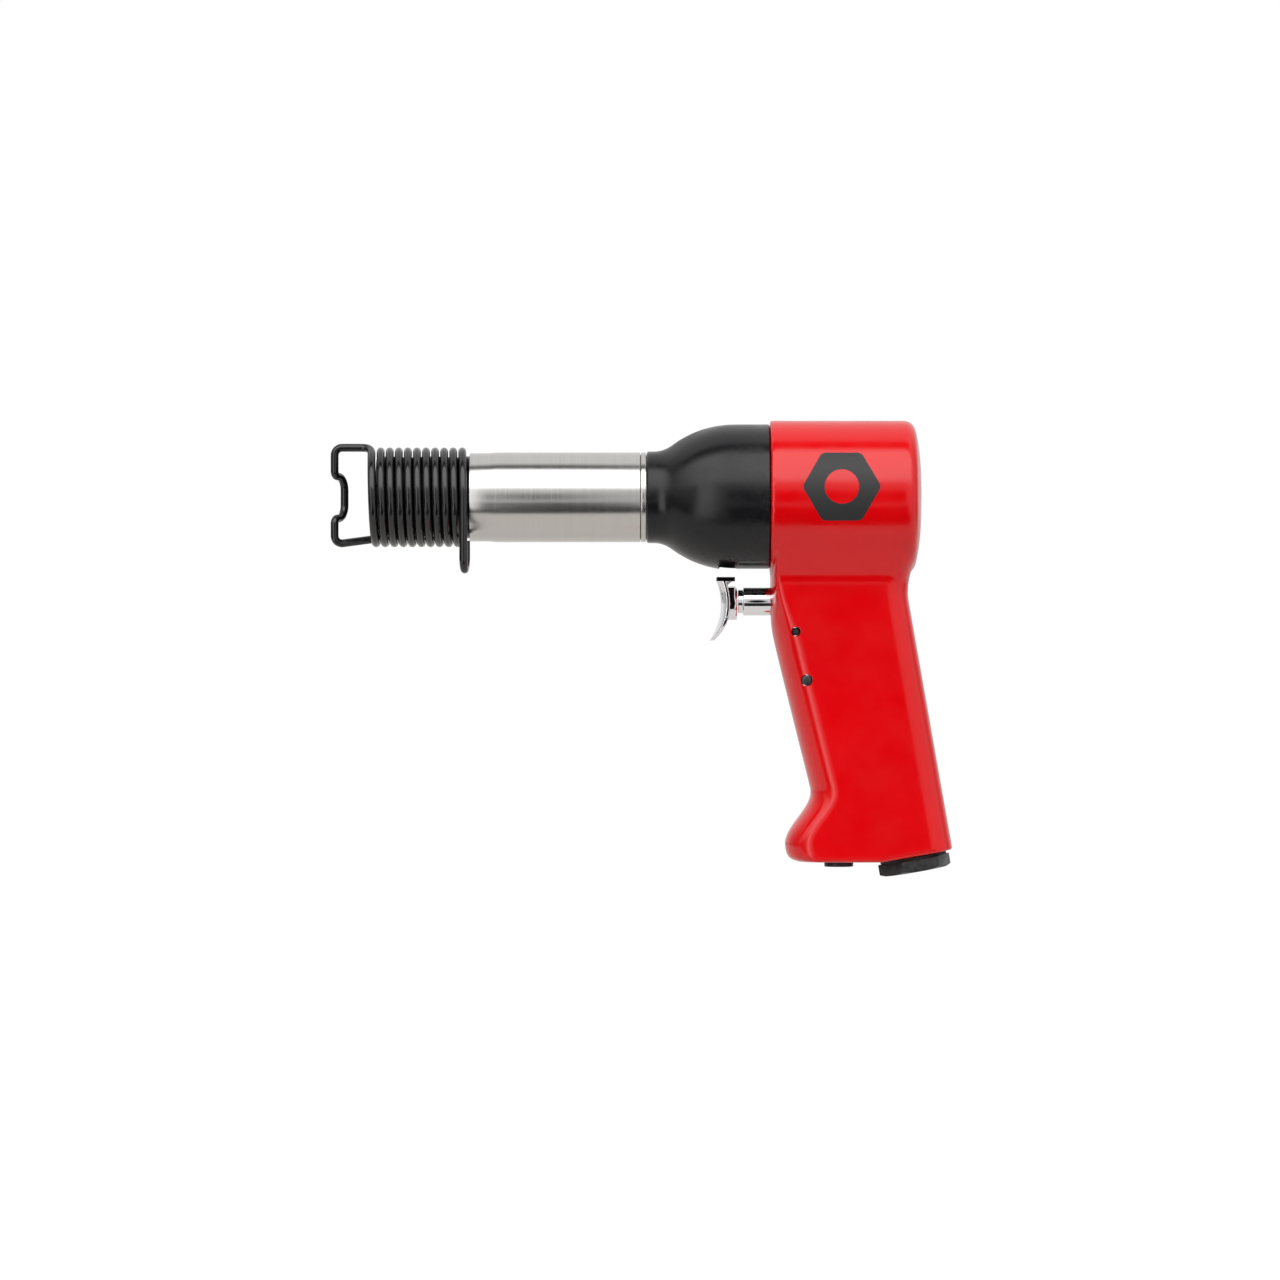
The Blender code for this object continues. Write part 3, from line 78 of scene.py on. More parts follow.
FRONT_ROUND_START = 31.0 * MM
FRONT_ROUND_END = 60.0 * MM
GRIP_BACK_ROUND_X = 8.5 * MM
GRIP_BACK_ROUND_Y = 11.0 * MM
FLANK_LEAN = math.radians(29.0)
FLANK_BLEND = 1.2 * MM
BACK_FILLET_R = 25.6 * MM
BACK_FILLET_DEPTH = 42.0 * MM
BACK_SETBACK = 2.6 * MM
FRONT_BLEND = 1.2 * MM
FOOT_FLAT_LENGTH = 44.0 * MM
GRIP_START = 15.0 * MM
LEVEL_STEP = 1.0 * MM
CASTING_VOXEL = 0.72 * MM
CASTING_SMOOTHING = 9

# Printed sign on the head
SIGN_X = -32.3 * MM
SIGN_Z = 3.6 * MM
SIGN_ROUGHNESS = 0.5
SIGN_CORNER_TRIM = 1.12  # where its corners are cut, as a share of its width across flats

# Bores in the casting
AIR_CHAMBER_R = 14.0 * MM
AIR_CHAMBER_WALL = 7.0 * MM
BORE_DEPTH = 40.2 * MM
PASSAGE_R = 3.4 * MM
RISER_BACK = 47.0 * MM
CROSS_DROP = 56.5 * MM
FEED_HEIGHT = 20.4 * MM
PIVOT = Vector((FRONT + 10.1 * MM, 0.0, -53.7 * MM))
PIN_LINE_TILT = math.radians(12.5)
PIN_LINE = Vector((math.sin(PIN_LINE_TILT), 0.0, -math.cos(PIN_LINE_TILT)))
PIVOT_HOLE_R = 1.85 * MM
PIVOT_PIN_R = 1.55 * MM
PIVOT_PIN_RECESS = 3.0 * MM
REST_PIN = PIVOT + PIN_LINE * 19.8 * MM
REST_PIN_R = 2.0 * MM
REST_PIN_RECESS = 0.6 * MM
THROTTLE_BORE_R = 5.2 * MM
THROTTLE_BORE = (3.47 * MM, 69.64 * MM)  # its start and end along the line of the pins
LEVER_ROOM = ((-5.0 * MM, -2.3 * MM, -4.07 * MM), (7.1 * MM, 2.3 * MM, 12.1 * MM))
RIM_BREAK = 0.35 * MM  # the broken edge at the mouth of each drilled hole

# Barrel group
BARREL_R = 17.9 * MM
BARREL_FRONT_R = 17.6 * MM
NOSE_R = 16.4 * MM
THREAD_R = 17.0 * MM
NOSE_TIP = 157.0 * MM
NOSE_END = 119.7 * MM
FRONT_STEP_END = 112.0 * MM
BARREL_SHOULDER = 51.7 * MM
BELL_FRONT = 49.2 * MM
THREAD_LENGTH = 20.0 * MM
NOSE_CHAMFER = 0.8 * MM
FRONT_TAPER = 3.0 * MM
PISTON_BORE_R = 9.5 * MM
SHANK_BORE_R = 5.2 * MM
BUSH_R = 8.5 * MM
BUSH_LENGTH = 34.5 * MM
BUSH_SETBACK = 0.6 * MM
BUSH_CHAMFER = 0.9 * MM
NOSE_THREADS = 10
NOSE_THREAD_DEPTH = 0.45 * MM
EXHAUST_PORT_R = 2.5 * MM
EXHAUST_PORT_AT = 28.0 * MM
EXHAUST_PORT_SPACING = 9.0 * MM

# Bell-shaped exhaust sleeve
BELL_R = 29.1 * MM
BELL_LIP_R = 18.3 * MM
BELL_WALL = 2.2 * MM
BELL_SHOULDER_R = 41.8 * MM
BELL_THROAT_R = 12.6 * MM
BELL_SHOULDER_AT = 14.0 * MM
NOTCH_FRONT = 20.2 * MM
NOTCH_BACK = 13.0 * MM
NOTCH_HALF_WIDTH = 7.0 * MM
NOTCH_DEPTH = 3.7 * MM
NOTCH_ROUND = 1.2 * MM
BELL_LIP = 0.6 * MM
BELL_FLAT_DEPTH = 0.6 * MM
BELL_FLAT_START = 1.0 * MM

# Trigger
PLUNGER_DROP = 41.6 * MM
PLUNGER_R = 5.6 * MM
PLUNGER_FRONT = 10.6 * MM
PLUNGER_BACK = 12.9 * MM
TRIGGER_TRAVEL = 5.0 * MM
PLUNGER_ROOM = 1.0 * MM
NECK_R = 4.7 * MM
NECK_LENGTH = 2.4 * MM
BOSS_R = 6.6 * MM
BOSS_LENGTH = 4.6 * MM
BOSS_DROP = 0.8 * MM
SEAL_GROOVE_AT = 1.4 * MM
SEAL_GROOVE_WIDTH = 2.2 * MM
SEAL_GROOVE_DEPTH = 1.5 * MM
TRIGGER_FACE_R = 26.0 * MM
TRIGGER_FACE_AT = 19.5 * MM
TRIGGER_FACE_DROP = 1.0 * MM
TRIGGER_TOP = 8.4 * MM
TRIGGER_TIP = 15.6 * MM
TRIGGER_HALF_WIDTH = 8.8 * MM
TRIGGER_CROWN = 2.1 * MM
TRIGGER_PLATE = 1.6 * MM
BLADE_BLUNTNESS = 0.04
BLADE_ROUNDING = 2.4
TRIGGER_BAR_LENGTH = 7.4 * MM
TRIGGER_BAR_HEIGHT = 1.7 * MM
TRIGGER_BAR_OVERLAP = 0.4 * MM
TRIGGER_BAR_LIP = 0.1 * MM
WEB_HALF_WIDTH = 5.5 * MM
RIB_DEPTH = 9.4 * MM
RIB_SETBACK = 0.8 * MM
TRIGGER_VOXEL = 0.24 * MM
TRIGGER_SMOOTHING = 3
TIP_SLOT = ((-4.3 * MM, -2.3 * MM, -7.6 * MM), (-0.7 * MM, 2.3 * MM, 1.8 * MM))  # from the pivot
ARM_SLOT = ((-5.457 * MM, -2.3 * MM, -7.6 * MM), (0.457 * MM, 2.3 * MM, -0.75 * MM))

# Regulator and air inlet
REGULATOR_X = FRONT + 27.6 * MM
REGULATOR_DISC_R = 5.8 * MM
REGULATOR_DISC_THICKNESS = 1.8 * MM
REGULATOR_STEM_R = 4.2 * MM
REGULATOR_LENGTH = 25.5 * MM
REGULATOR_HOLLOW_R = 2.5 * MM
REGULATOR_HOLLOW_START = 17.2 * MM
REGULATOR_GROOVE = (7.0 * MM, 8.8 * MM, 3.1 * MM)  # start, end, radius
REGULATOR_WINDOW_R = 2.2 * MM
REGULATOR_ROOM = 2.0 * MM
SLOT_WIDTH = 1.4 * MM
SLOT_DEPTH = 0.9 * MM
INLET_BACK = 57.2 * MM
INLET_AXIS = Vector((math.sin(GRIP_RAKE), 0.0, -math.cos(GRIP_RAKE)))
FOOT_BREAK = Vector((FRONT + FOOT_FLAT_LENGTH, 0.0, UNDERSIDE))
INLET_HEX_ACROSS = 25.4 * MM
INLET_HEX_HEIGHT = 4.7 * MM
INLET_HEX_TURN = math.radians(8.5)
INLET_HEX_TRIM = 0.2 * MM
INLET_CHAMFER = 0.9 * MM
INLET_SPIGOT_R = 10.3 * MM
INLET_SPIGOT_LENGTH = 16.0 * MM
INLET_BORE_R = 6.5 * MM
PIPE_THREAD_PITCH = 1.41 * MM
PIPE_THREAD_DEPTH = 0.7 * MM
PIPE_THREADS = 10
INLET_CHAMBER_R = 8.6 * MM
INLET_CHAMBER_LENGTH = 12.0 * MM
INLET_SEAL_THICKNESS = 1.0 * MM
INLET_SEAL_OUTER_R = 13.3 * MM
SCREEN_THICKNESS = 0.8 * MM

# Coil retainer and its front loop
COIL_PITCH = 3.62 * MM
COIL_TURNS = 10.25
COIL_FRONT = 159.0 * MM
COIL_STEPS = 48
COIL_R = NOSE_R + GAP + 1.65 * MM  # to the middle of its wire
LEAD_STEPS = 14
TAIL_STEPS = 16
LEAD_TURN = math.radians(24.0)
LEAD_PULL = 4.0 * MM
TAIL_DROP = 24.8 * MM
TAIL_BEND_R = 4.2 * MM
TAIL_END_DROP = 17.5 * MM
TAIL_SHIFT = 0.9 * MM
LIMB_HEIGHT = 19.8 * MM
LOOP_SPLIT = 163.2 * MM
WIRE_PART = 0.04 * MM
LOOP_FRONT = 173.8 * MM
LOOP_CORNER_R = 3.0 * MM
BOW_TOP = 8.6 * MM
BOW_BOTTOM = 8.6 * MM
BOW_REACH = 8.0 * MM
BOW_SETBACK = 3.6 * MM
BOW_ROUND_R = 5.5 * MM
BOW_CORNER_R = 2.2 * MM
BOW_SLOPE = 0.6 * MM
LOOP_BOTTOM = 18.8 * MM
LOOP_END = 159.5 * MM
LOOP_END_RISE = 2.0 * MM
LOOP_END_REACH = 4.5 * MM

# Stage
CAMERA_CENTRE = Vector((-112.0 * MM, 0.0, -57.0 * MM))
CAMERA_DISTANCE = 2.5
CAMERA_LENS = 176.0
FLOOR_HEIGHT = -0.335
FLOOR_FRONT = -0.36
FLOOR_BACK = 2.6
FLOOR_HALF_WIDTH = 1.6
PANELS = (  # degrees up from straight ahead, and how bright the studio is there
    (-180.0, 0.6), (-90.0, 0.6), (-53.0, 0.5), (-46.0, 0.02), (-17.0, 0.02), (-11.0, 0.62),
    (20.0, 0.72), (27.0, 2.7), (72.0, 2.7), (79.0, 0.05), (88.0, 0.05), (96.0, 0.9),
    (180.0, 0.8),
)


# ---- settings ------------------------------------------------------------------------------


def colour(title, text, value):
    return bpy.props.FloatVectorProperty(
        name=title, description=text, default=value, size=3, min=0.0, max=1.0, subtype="COLOR"
    )


def share(title, text, value):
    return bpy.props.FloatProperty(
        name=title, description=text, default=value, min=0.0, max=1.0, subtype="FACTOR"
    )


def length(title, text, value):
    return bpy.props.FloatProperty(
        name=title, description=text, default=value, min=0.0, unit="LENGTH", subtype="DISTANCE"
    )


class AirHammerColours(bpy.types.PropertyGroup):
    """Colours of the finishes"""

    enamel: colour("Enamel", "Gloss enamel on the handle casting", (0.635, 0.0, 0.002))
    mark: colour("Mark", "Printed nut sign on the side of the head", (0.012, 0.012, 0.013))
    steel: colour("Satin steel", "Ground steel of the barrel", (0.60, 0.585, 0.565))
    hard_steel: colour("Hardened steel", "Darker hardened steel inside", (0.085, 0.088, 0.09))
    chrome: colour("Chrome", "Plating of the trigger", (0.86, 0.86, 0.88))
    sleeve: colour("Bell sleeve", "Satin black of the exhaust sleeve", (0.006, 0.006, 0.007))
    spring: colour("Spring", "Oiled black oxide on the retainer wire", (0.006, 0.006, 0.007))
    fitting: colour("Fittings", "Black oxide on the inlet and regulator", (0.010, 0.010, 0.011))
    brass: colour("Brass", "Machined brass of the valve parts", (0.72, 0.52, 0.22))
    rubber: colour("Rubber", "Sealing rings", (0.02, 0.02, 0.02))


class AirHammerSizes(bpy.types.PropertyGroup):
    """Sizes that a user would change without moving the parts"""

    wire_radius: length("Wire radius", "Radius of the retainer wire", 1.6 * MM)
    mark_size: length("Mark size", "Nut sign across its flats", 27.0 * MM)
    mark_hole: length("Mark hole", "Hole in the nut sign", 13.6 * MM)
    enamel_peel: share("Orange peel", "How much the enamel ripples", 0.02)
    brushing: share("Brushing", "Depth of the grinding lines on the barrel", 0.01)
    wear: share("Edge wear", "How much coatings are rubbed at their edges", 0.15)


# ---- shape helpers -------------------------------------------------------------------------


def turned(profile, segments=FINE):
    """A solid turned about X from (along, radius) points, or a ring if it starts off the axis."""
    shape = bmesh.new()
    verts = [shape.verts.new((along, 0.0, radius)) for along, radius in profile]
    edges = [shape.edges.new(pair) for pair in zip(verts, verts[1:])]
    if profile[0][1] > 0.0:
        edges.append(shape.edges.new((verts[-1], verts[0])))
    bmesh.ops.spin(
        shape,
        geom=verts + edges,
        cent=(0.0, 0.0, 0.0),
        axis=(1.0, 0.0, 0.0),
        angle=2.0 * math.pi,
        steps=segments,
        use_merge=True,
    )
    bmesh.ops.remove_doubles(shape, verts=shape.verts, dist=0.001 * MM)
    bmesh.ops.recalc_face_normals(shape, faces=shape.faces)
    return shape


def aimed(shape, direction, place):
    """Turns a shape made along +X to a direction and moves it."""
    turn = Vector((1.0, 0.0, 0.0)).rotation_difference(Vector(direction)).to_matrix().to_4x4()
    bmesh.ops.transform(shape, verts=shape.verts, matrix=Matrix.Translation(place) @ turn)
    return shape


def rod(start, direction, reach, radius, segments=48):
    """A plain round rod or drilled hole."""
    profile = [(0.0, 0.0), (0.0, radius), (reach, radius), (reach, 0.0)]
    return aimed(turned(profile, segments), direction, Vector(start))


def block(low, high):
    """A box between two corners."""
    shape = bmesh.new()
    bmesh.ops.create_cube(shape, size=1.0)
    bmesh.ops.scale(shape, verts=shape.verts, vec=Vector(high) - Vector(low))
    bmesh.ops.translate(shape, verts=shape.verts, vec=(Vector(high) + Vector(low)) / 2.0)
    return shape


def softened(shape, width, segments=3, angle=math.radians(28.0)):
    """Rounds every sharp edge of a shape."""
    edges = [e for e in shape.edges if e.is_manifold and e.calc_face_angle(0.0) > angle]
    bmesh.ops.bevel(
        shape,
        geom=edges,
        offset=width,
        offset_type="OFFSET",
        affect="EDGES",
        segments=segments,
        profile=0.5,
        material=-1,
        clamp_overlap=True,
    )
    return shape


def extruded(outline, half_width):
    """A plate with an XZ outline, from -Y to +Y."""
    shape = bmesh.new()
    face = shape.faces.new([shape.verts.new((x, -half_width, z)) for x, z in outline])
    grown = bmesh.ops.extrude_face_region(shape, geom=[face])
    moved = [item for item in grown["geom"] if isinstance(item, bmesh.types.BMVert)]
    bmesh.ops.translate(shape, verts=moved, vec=(0.0, 2.0 * half_width, 0.0))
    bmesh.ops.recalc_face_normals(shape, faces=shape.faces)
    return shape


def lofted(rings):
    """A closed solid bridged through rings of points."""
    shape = bmesh.new()
    loops = []
    for ring in rings:
        verts = [shape.verts.new(point) for point in ring]
        loops.append([shape.edges.new(pair) for pair in zip(verts, verts[1:] + verts[:1])])
    for low, high in zip(loops, loops[1:]):
        bmesh.ops.bridge_loops(shape, edges=low + high)
    bmesh.ops.edgeloop_fill(shape, edges=loops[0])
    bmesh.ops.edgeloop_fill(shape, edges=loops[-1])
    bmesh.ops.recalc_face_normals(shape, faces=shape.faces)
    return shape


def sliced(shape, point, normal):
    """Takes away what lies on the normal's side of a plane and closes the cut."""
    geometry = shape.verts[:] + shape.edges[:] + shape.faces[:]
    done = bmesh.ops.bisect_plane(
        shape, geom=geometry, plane_co=point, plane_no=normal, clear_outer=True, dist=0.001 * MM
    )
    rim = [item for item in done["geom_cut"] if isinstance(item, bmesh.types.BMEdge)]
    bmesh.ops.edgeloop_fill(shape, edges=rim)
    return shape


def arc(centre, radius, start, end, steps):
    """Points on an arc in a plane, from one angle to the other, both included."""
    spots = [start + (end - start) * i / steps for i in range(steps + 1)]
    return [(centre[0] + radius * math.cos(a), centre[1] + radius * math.sin(a)) for a in spots]


def rounded_path(corners, steps=10):
    """A run of straight lines whose inner corners are arcs: each corner is (point, radius)."""
    path = [Vector(corners[0][0])]
    for before, here, after in zip(corners, corners[1:], corners[2:]):
        spot, radius = Vector(here[0]), here[1]
        back = (Vector(before[0]) - spot).normalized()
        ahead = (Vector(after[0]) - spot).normalized()
        half = back.angle(ahead) / 2.0
        middle = spot + (back + ahead).normalized() * radius / math.sin(half)
        start = spot + back * radius / math.tan(half) - middle
        end = spot + ahead * radius / math.tan(half) - middle
        path += [middle + start.slerp(end, i / steps) * radius for i in range(steps + 1)]
    path.append(Vector(corners[-1][0]))
    return path


def smooth_step(value):
    value = min(1.0, max(0.0, value))
    return value * value * (3.0 - 2.0 * value)


# ---- object helpers ------------------------------------------------------------------------


def solid(name, shape):
    """A mesh object from a bmesh, in place."""
    mesh = bpy.data.meshes.new(name)
    shape.to_mesh(mesh)
    shape.free()
    made = bpy.data.objects.new(name, mesh)
    bpy.context.scene.collection.objects.link(made)
    return made


def settle(made):
    """Turns an object's modifiers into its mesh."""
    graph = bpy.context.evaluated_depsgraph_get()
    mesh = bpy.data.meshes.new_from_object(made.evaluated_get(graph))
    old = made.data
    made.modifiers.clear()
    made.data = mesh
    bpy.data.meshes.remove(old)
    mesh.name = made.name


def shaped(made, operation, *shapes):
    """Joins shapes to an object, or cuts them out of it."""
    tools = [solid("tool", shape) for shape in shapes]
    for tool in tools:
        step = made.modifiers.new("shape", "BOOLEAN")
        step.operation = operation
        step.solver = "EXACT"
        step.object = tool
    settle(made)
    for tool in tools:
        mesh = tool.data
        bpy.data.objects.remove(tool)
        bpy.data.meshes.remove(mesh)


def blended(made, voxel, repeats):
    """Melts joined solids into one even skin."""
    remesh = made.modifiers.new("skin", "REMESH")
    remesh.mode = "VOXEL"
    remesh.voxel_size = voxel
    smooth = made.modifiers.new("ease", "SMOOTH")
    smooth.factor = 0.5
    smooth.iterations = repeats
    settle(made)


def finished(made, look, body, slot, *nodes, angle=35.0):
    """Shades a piece, paints it and sets it on its body in place of its plain solid."""
    made.data.shade_smooth()
    made.data.set_sharp_from_angle(angle=math.radians(angle))
    made.data.materials.clear()
    made.data.materials.append(look)
    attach(made, body)
    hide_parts(*nodes)
    return made


def wired(name, points, radius, sides=16):
    """A round wire through points, as a mesh."""
    curve = bpy.data.curves.new(name, "CURVE")
    curve.dimensions = "3D"
    curve.bevel_depth = radius
    curve.bevel_resolution = (sides - 4) // 2
    curve.use_fill_caps = True
    run = curve.splines.new("POLY")
    run.points.add(len(points) - 1)
    for spot, point in zip(run.points, points):
        spot.co = (*point, 1.0)
    run.use_smooth = True
    path = bpy.data.objects.new(name, curve)
    bpy.context.scene.collection.objects.link(path)
    graph = bpy.context.evaluated_depsgraph_get()
    mesh = bpy.data.meshes.new_from_object(path.evaluated_get(graph))
    bpy.data.objects.remove(path)
    bpy.data.curves.remove(curve)
    shape = bmesh.new()
    shape.from_mesh(mesh)
    bpy.data.meshes.remove(mesh)
    bmesh.ops.remove_doubles(shape, verts=shape.verts, dist=0.005 * MM)
    bmesh.ops.recalc_face_normals(shape, faces=shape.faces)
    return solid(name, shape)


# ---- shader helpers ------------------------------------------------------------------------


def node(tree, kind, inputs=None, **settings):
    """Adds a node; an input that is a socket is linked, any other value is set."""
    made = tree.nodes.new(kind)
    made.location = (200.0 * len(tree.nodes), 0.0)
    for key, value in settings.items():
        setattr(made, key, value)
    for key, value in (inputs or {}).items():
        if isinstance(value, bpy.types.NodeSocket):
            tree.links.new(value, made.inputs[key])
        else:
            made.inputs[key].default_value = value
    return made


def maths(tree, operation, *values):
    """One Math node's result."""
    inputs = dict(enumerate(values))
    return node(tree, "ShaderNodeMath", inputs, operation=operation).outputs[0]


def product(tree, *values):
    """Several values multiplied together."""
    result = values[0]
    for value in values[1:]:
        result = maths(tree, "MULTIPLY", result, value)
    return result


def stretched(tree, vector, scale):
    """A vector with each part multiplied."""
    inputs = {0: vector, 1: scale}
    return node(tree, "ShaderNodeVectorMath", inputs, operation="MULTIPLY").outputs[0]


def ranged(tree, value, low, high, out_low, out_high):
    """A value moved from one range to another, kept inside it."""
    inputs = {"Value": value, 1: low, 2: high, 3: out_low, 4: out_high}
    return node(tree, "ShaderNodeMapRange", inputs).outputs[0]


def mixed(tree, mask, first, second):
    """Two colours mixed by a mask."""
    made = node(tree, "ShaderNodeMix", {0: mask}, data_type="RGBA")
    for index, value in ((6, first), (7, second)):
        if isinstance(value, bpy.types.NodeSocket):
            tree.links.new(value, made.inputs[index])
        else:
            made.inputs[index].default_value = value
    return made.outputs[2]


def group(name, inputs, outputs):
    """An empty node group with its named sockets, and its two end nodes."""
    tree = bpy.data.node_groups.new(name, "ShaderNodeTree")
    for title, kind, value in inputs:
        made = tree.interface.new_socket(title, in_out="INPUT", socket_type=kind)
        made.default_value = value
    for title, kind in outputs:
        tree.interface.new_socket(title, in_out="OUTPUT", socket_type=kind)
    start = tree.nodes.new("NodeGroupInput")
    end = tree.nodes.new("NodeGroupOutput")
    return tree, start.outputs, end.inputs


def surface_noise(tree, scale, stretch, detail):
    """Noise on object coordinates, which may be stretched."""
    coords = node(tree, "ShaderNodeTexCoord").outputs["Object"]
    inputs = {"Vector": stretched(tree, coords, stretch), "Scale": scale, "Detail": detail}
    return node(tree, "ShaderNodeTexNoise", inputs).outputs[0]


def blotches_group():
    """Slow changes over a surface: a value between Low and High."""
    name = "Blotches"
    if name in bpy.data.node_groups:
        return bpy.data.node_groups[name]
    number = "NodeSocketFloat"
    inputs = [("Scale", number, 60.0), ("Low", number, 0.0), ("High", number, 1.0)]
    tree, start, end = group(name, inputs, [("Value", number)])
    noise = surface_noise(tree, start["Scale"], (1.0, 1.0, 1.0), 4.0)
    value = ranged(tree, noise, 0.32, 0.68, start["Low"], start["High"])
    tree.links.new(value, end["Value"])
    return tree


def grain_group():
    """Fine lines or grain: a height between 0 and 1, drawn out by Stretch."""
    name = "Fine Grain"
    if name in bpy.data.node_groups:
        return bpy.data.node_groups[name]
    number, vector = "NodeSocketFloat", "NodeSocketVector"
    inputs = [("Scale", number, 900.0), ("Stretch", vector, (1.0, 1.0, 1.0))]
    tree, start, end = group(name, inputs, [("Height", number)])
    noise = surface_noise(tree, start["Scale"], start["Stretch"], 3.0)
    tree.links.new(ranged(tree, noise, 0.25, 0.75, 0.0, 1.0), end["Height"])
    return tree


def wear_group():
    """Rubbed edges: a mask that follows convex edges and breaks up."""
    name = "Edge Wear"
    if name in bpy.data.node_groups:
        return bpy.data.node_groups[name]
    number = "NodeSocketFloat"
    inputs = [("Amount", number, 0.2), ("Scale", number, 400.0)]
    tree, start, end = group(name, inputs, [("Mask", number)])
    edge = node(tree, "ShaderNodeNewGeometry").outputs["Pointiness"]
    edge = ranged(tree, edge, 0.53, 0.62, 0.0, 1.0)
    breaks = surface_noise(tree, start["Scale"], (1.0, 1.0, 1.0), 3.0)
    mask = maths(tree, "MULTIPLY", edge, ranged(tree, breaks, 0.4, 0.62, 0.0, 1.0))
    tree.links.new(maths(tree, "MULTIPLY", mask, start["Amount"]), end["Mask"])
    return tree


def nut_sign_group():
    """A printed hexagon nut sign on the -Y side: a mask about a centre in X and Z."""
    name = "Nut Sign"
    if name in bpy.data.node_groups:
        return bpy.data.node_groups[name]
    number = "NodeSocketFloat"
    inputs = [
        ("Centre X", number, 0.0),
        ("Centre Z", number, 0.0),
        ("Across Flats", number, 0.027),
        ("Hole", number, 0.014),
    ]
    tree, start, end = group(name, inputs, [("Mask", number)])
    coords = node(tree, "ShaderNodeTexCoord").outputs["Object"]
    parts = node(tree, "ShaderNodeSeparateXYZ", {0: coords}).outputs
    x = maths(tree, "ABSOLUTE", maths(tree, "SUBTRACT", parts[0], start["Centre X"]))
    z = maths(tree, "ABSOLUTE", maths(tree, "SUBTRACT", parts[2], start["Centre Z"]))
    leaning = product(tree, x, math.sqrt(0.75))
    slope = maths(tree, "ADD", leaning, product(tree, z, 0.5))
    flats = maths(tree, "MULTIPLY", maths(tree, "MAXIMUM", slope, z), 2.0)
    across = maths(tree, "ADD", maths(tree, "MULTIPLY", x, x), maths(tree, "MULTIPLY", z, z))
    across = maths(tree, "MULTIPLY", maths(tree, "SQRT", across), 2.0)
    corner = product(tree, start["Across Flats"], SIGN_CORNER_TRIM)
    mask = product(
        tree,
        maths(tree, "LESS_THAN", flats, start["Across Flats"]),
        maths(tree, "GREATER_THAN", across, start["Hole"]),
        maths(tree, "LESS_THAN", across, corner),
        maths(tree, "LESS_THAN", parts[1], 0.0),
    )
    tree.links.new(mask, end["Mask"])
    return tree


def grouped(tree, made, output, values):
    """The named result of a node group that is given its values."""
    holder = node(tree, "ShaderNodeGroup", node_tree=made)
    for key, value in values.items():
        holder.inputs[key].default_value = value
    return holder.outputs[output]


def material(name, roughness, metallic=0.0, specular=0.5, coat=(0.0, 0.03)):
    """A new material, its tree and its shader."""
    made = bpy.data.materials.new(name)
    made.use_nodes = True
    shader = made.node_tree.nodes["Principled BSDF"]
    shader.inputs["Roughness"].default_value = roughness
    shader.inputs["Metallic"].default_value = metallic
    shader.inputs["Specular IOR Level"].default_value = specular
    shader.inputs["Coat Weight"].default_value = coat[0]
    shader.inputs["Coat Roughness"].default_value = coat[1]
    return made, made.node_tree, shader.inputs


def bumped(tree, shader, height, strength, distance):
    """Feeds a height into the shader's normal."""
    inputs = {"Height": height, "Strength": strength, "Distance": distance}
    tree.links.new(node(tree, "ShaderNodeBump", inputs).outputs[0], shader["Normal"])


def tinted(value, factor=1.0):
    return (value[0] * factor, value[1] * factor, value[2] * factor, 1.0)


# ---- finishes ------------------------------------------------------------------------------

RUBBED_METAL = (0.16, 0.16, 0.165, 1.0)
# near black painted on the trigger's top bar as the dark reflection it shows
BAR_DARK_REFLECTION = (0.02, 0.02, 0.02, 1.0)
# black given to the barrel's threaded nose, under the coil
NOSE_BLACK = (0.01, 0.01, 0.01, 1.0)


def red_enamel(colours, sizes):
    """Gloss enamel with a faint ripple and a printed nut sign."""
    made, tree, shader = material("red_enamel_finish", 0.18, specular=0.5)
    slow = grouped(tree, blotches_group(), "Value", {"Scale": 35.0, "Low": 0.0, "High": 1.0})
    red = mixed(tree, slow, tinted(colours.enamel, 0.97), tinted(colours.enamel, 1.03))
    sign = {
        "Centre X": SIGN_X,
        "Centre Z": SIGN_Z,
        "Across Flats": sizes.mark_size,
        "Hole": sizes.mark_hole,
    }
    mask = grouped(tree, nut_sign_group(), "Mask", sign)
    tree.links.new(mixed(tree, mask, red, tinted(colours.mark)), shader["Base Color"])
    rough = grouped(tree, blotches_group(), "Value", {"Scale": 90.0, "Low": 0.15, "High": 0.21})
    matte = maths(tree, "MULTIPLY", mask, SIGN_ROUGHNESS)
    tree.links.new(maths(tree, "MAXIMUM", rough, matte), shader["Roughness"])
    peel = grouped(tree, grain_group(), "Height", {"Scale": 420.0})
    bumped(tree, shader, peel, sizes.enamel_peel, 0.1 * MM)
    return made


def coated(name, tint, sizes, roughness, spread, scale, wear=1.0, specular=0.36):
    """A black coating or oxide whose gloss changes slowly and whose edges are rubbed."""
    made, tree, shader = material(name, roughness, specular=specular)
    rubbed = grouped(tree, wear_group(), "Mask", {"Amount": sizes.wear * wear, "Scale": 500.0})
    tree.links.new(mixed(tree, rubbed, tinted(tint), RUBBED_METAL), shader["Base Color"])
    values = {"Scale": scale, "Low": roughness - spread, "High": roughness + spread}
    tree.links.new(grouped(tree, blotches_group(), "Value", values), shader["Roughness"])
    grain = grouped(tree, grain_group(), "Height", {"Scale": 1500.0})
    bumped(tree, shader, grain, 0.06, 0.05 * MM)
    return made


def turned_sheen(tree, shader, amount):
    """Draws reflections out along X, as turning lines round a barrel do."""
    around = node(tree, "ShaderNodeTangent", direction_type="RADIAL", axis="X").outputs[0]
    tree.links.new(around, shader["Tangent"])
    shader["Anisotropic"].default_value = amount
    shader["Anisotropic Rotation"].default_value = 0.25


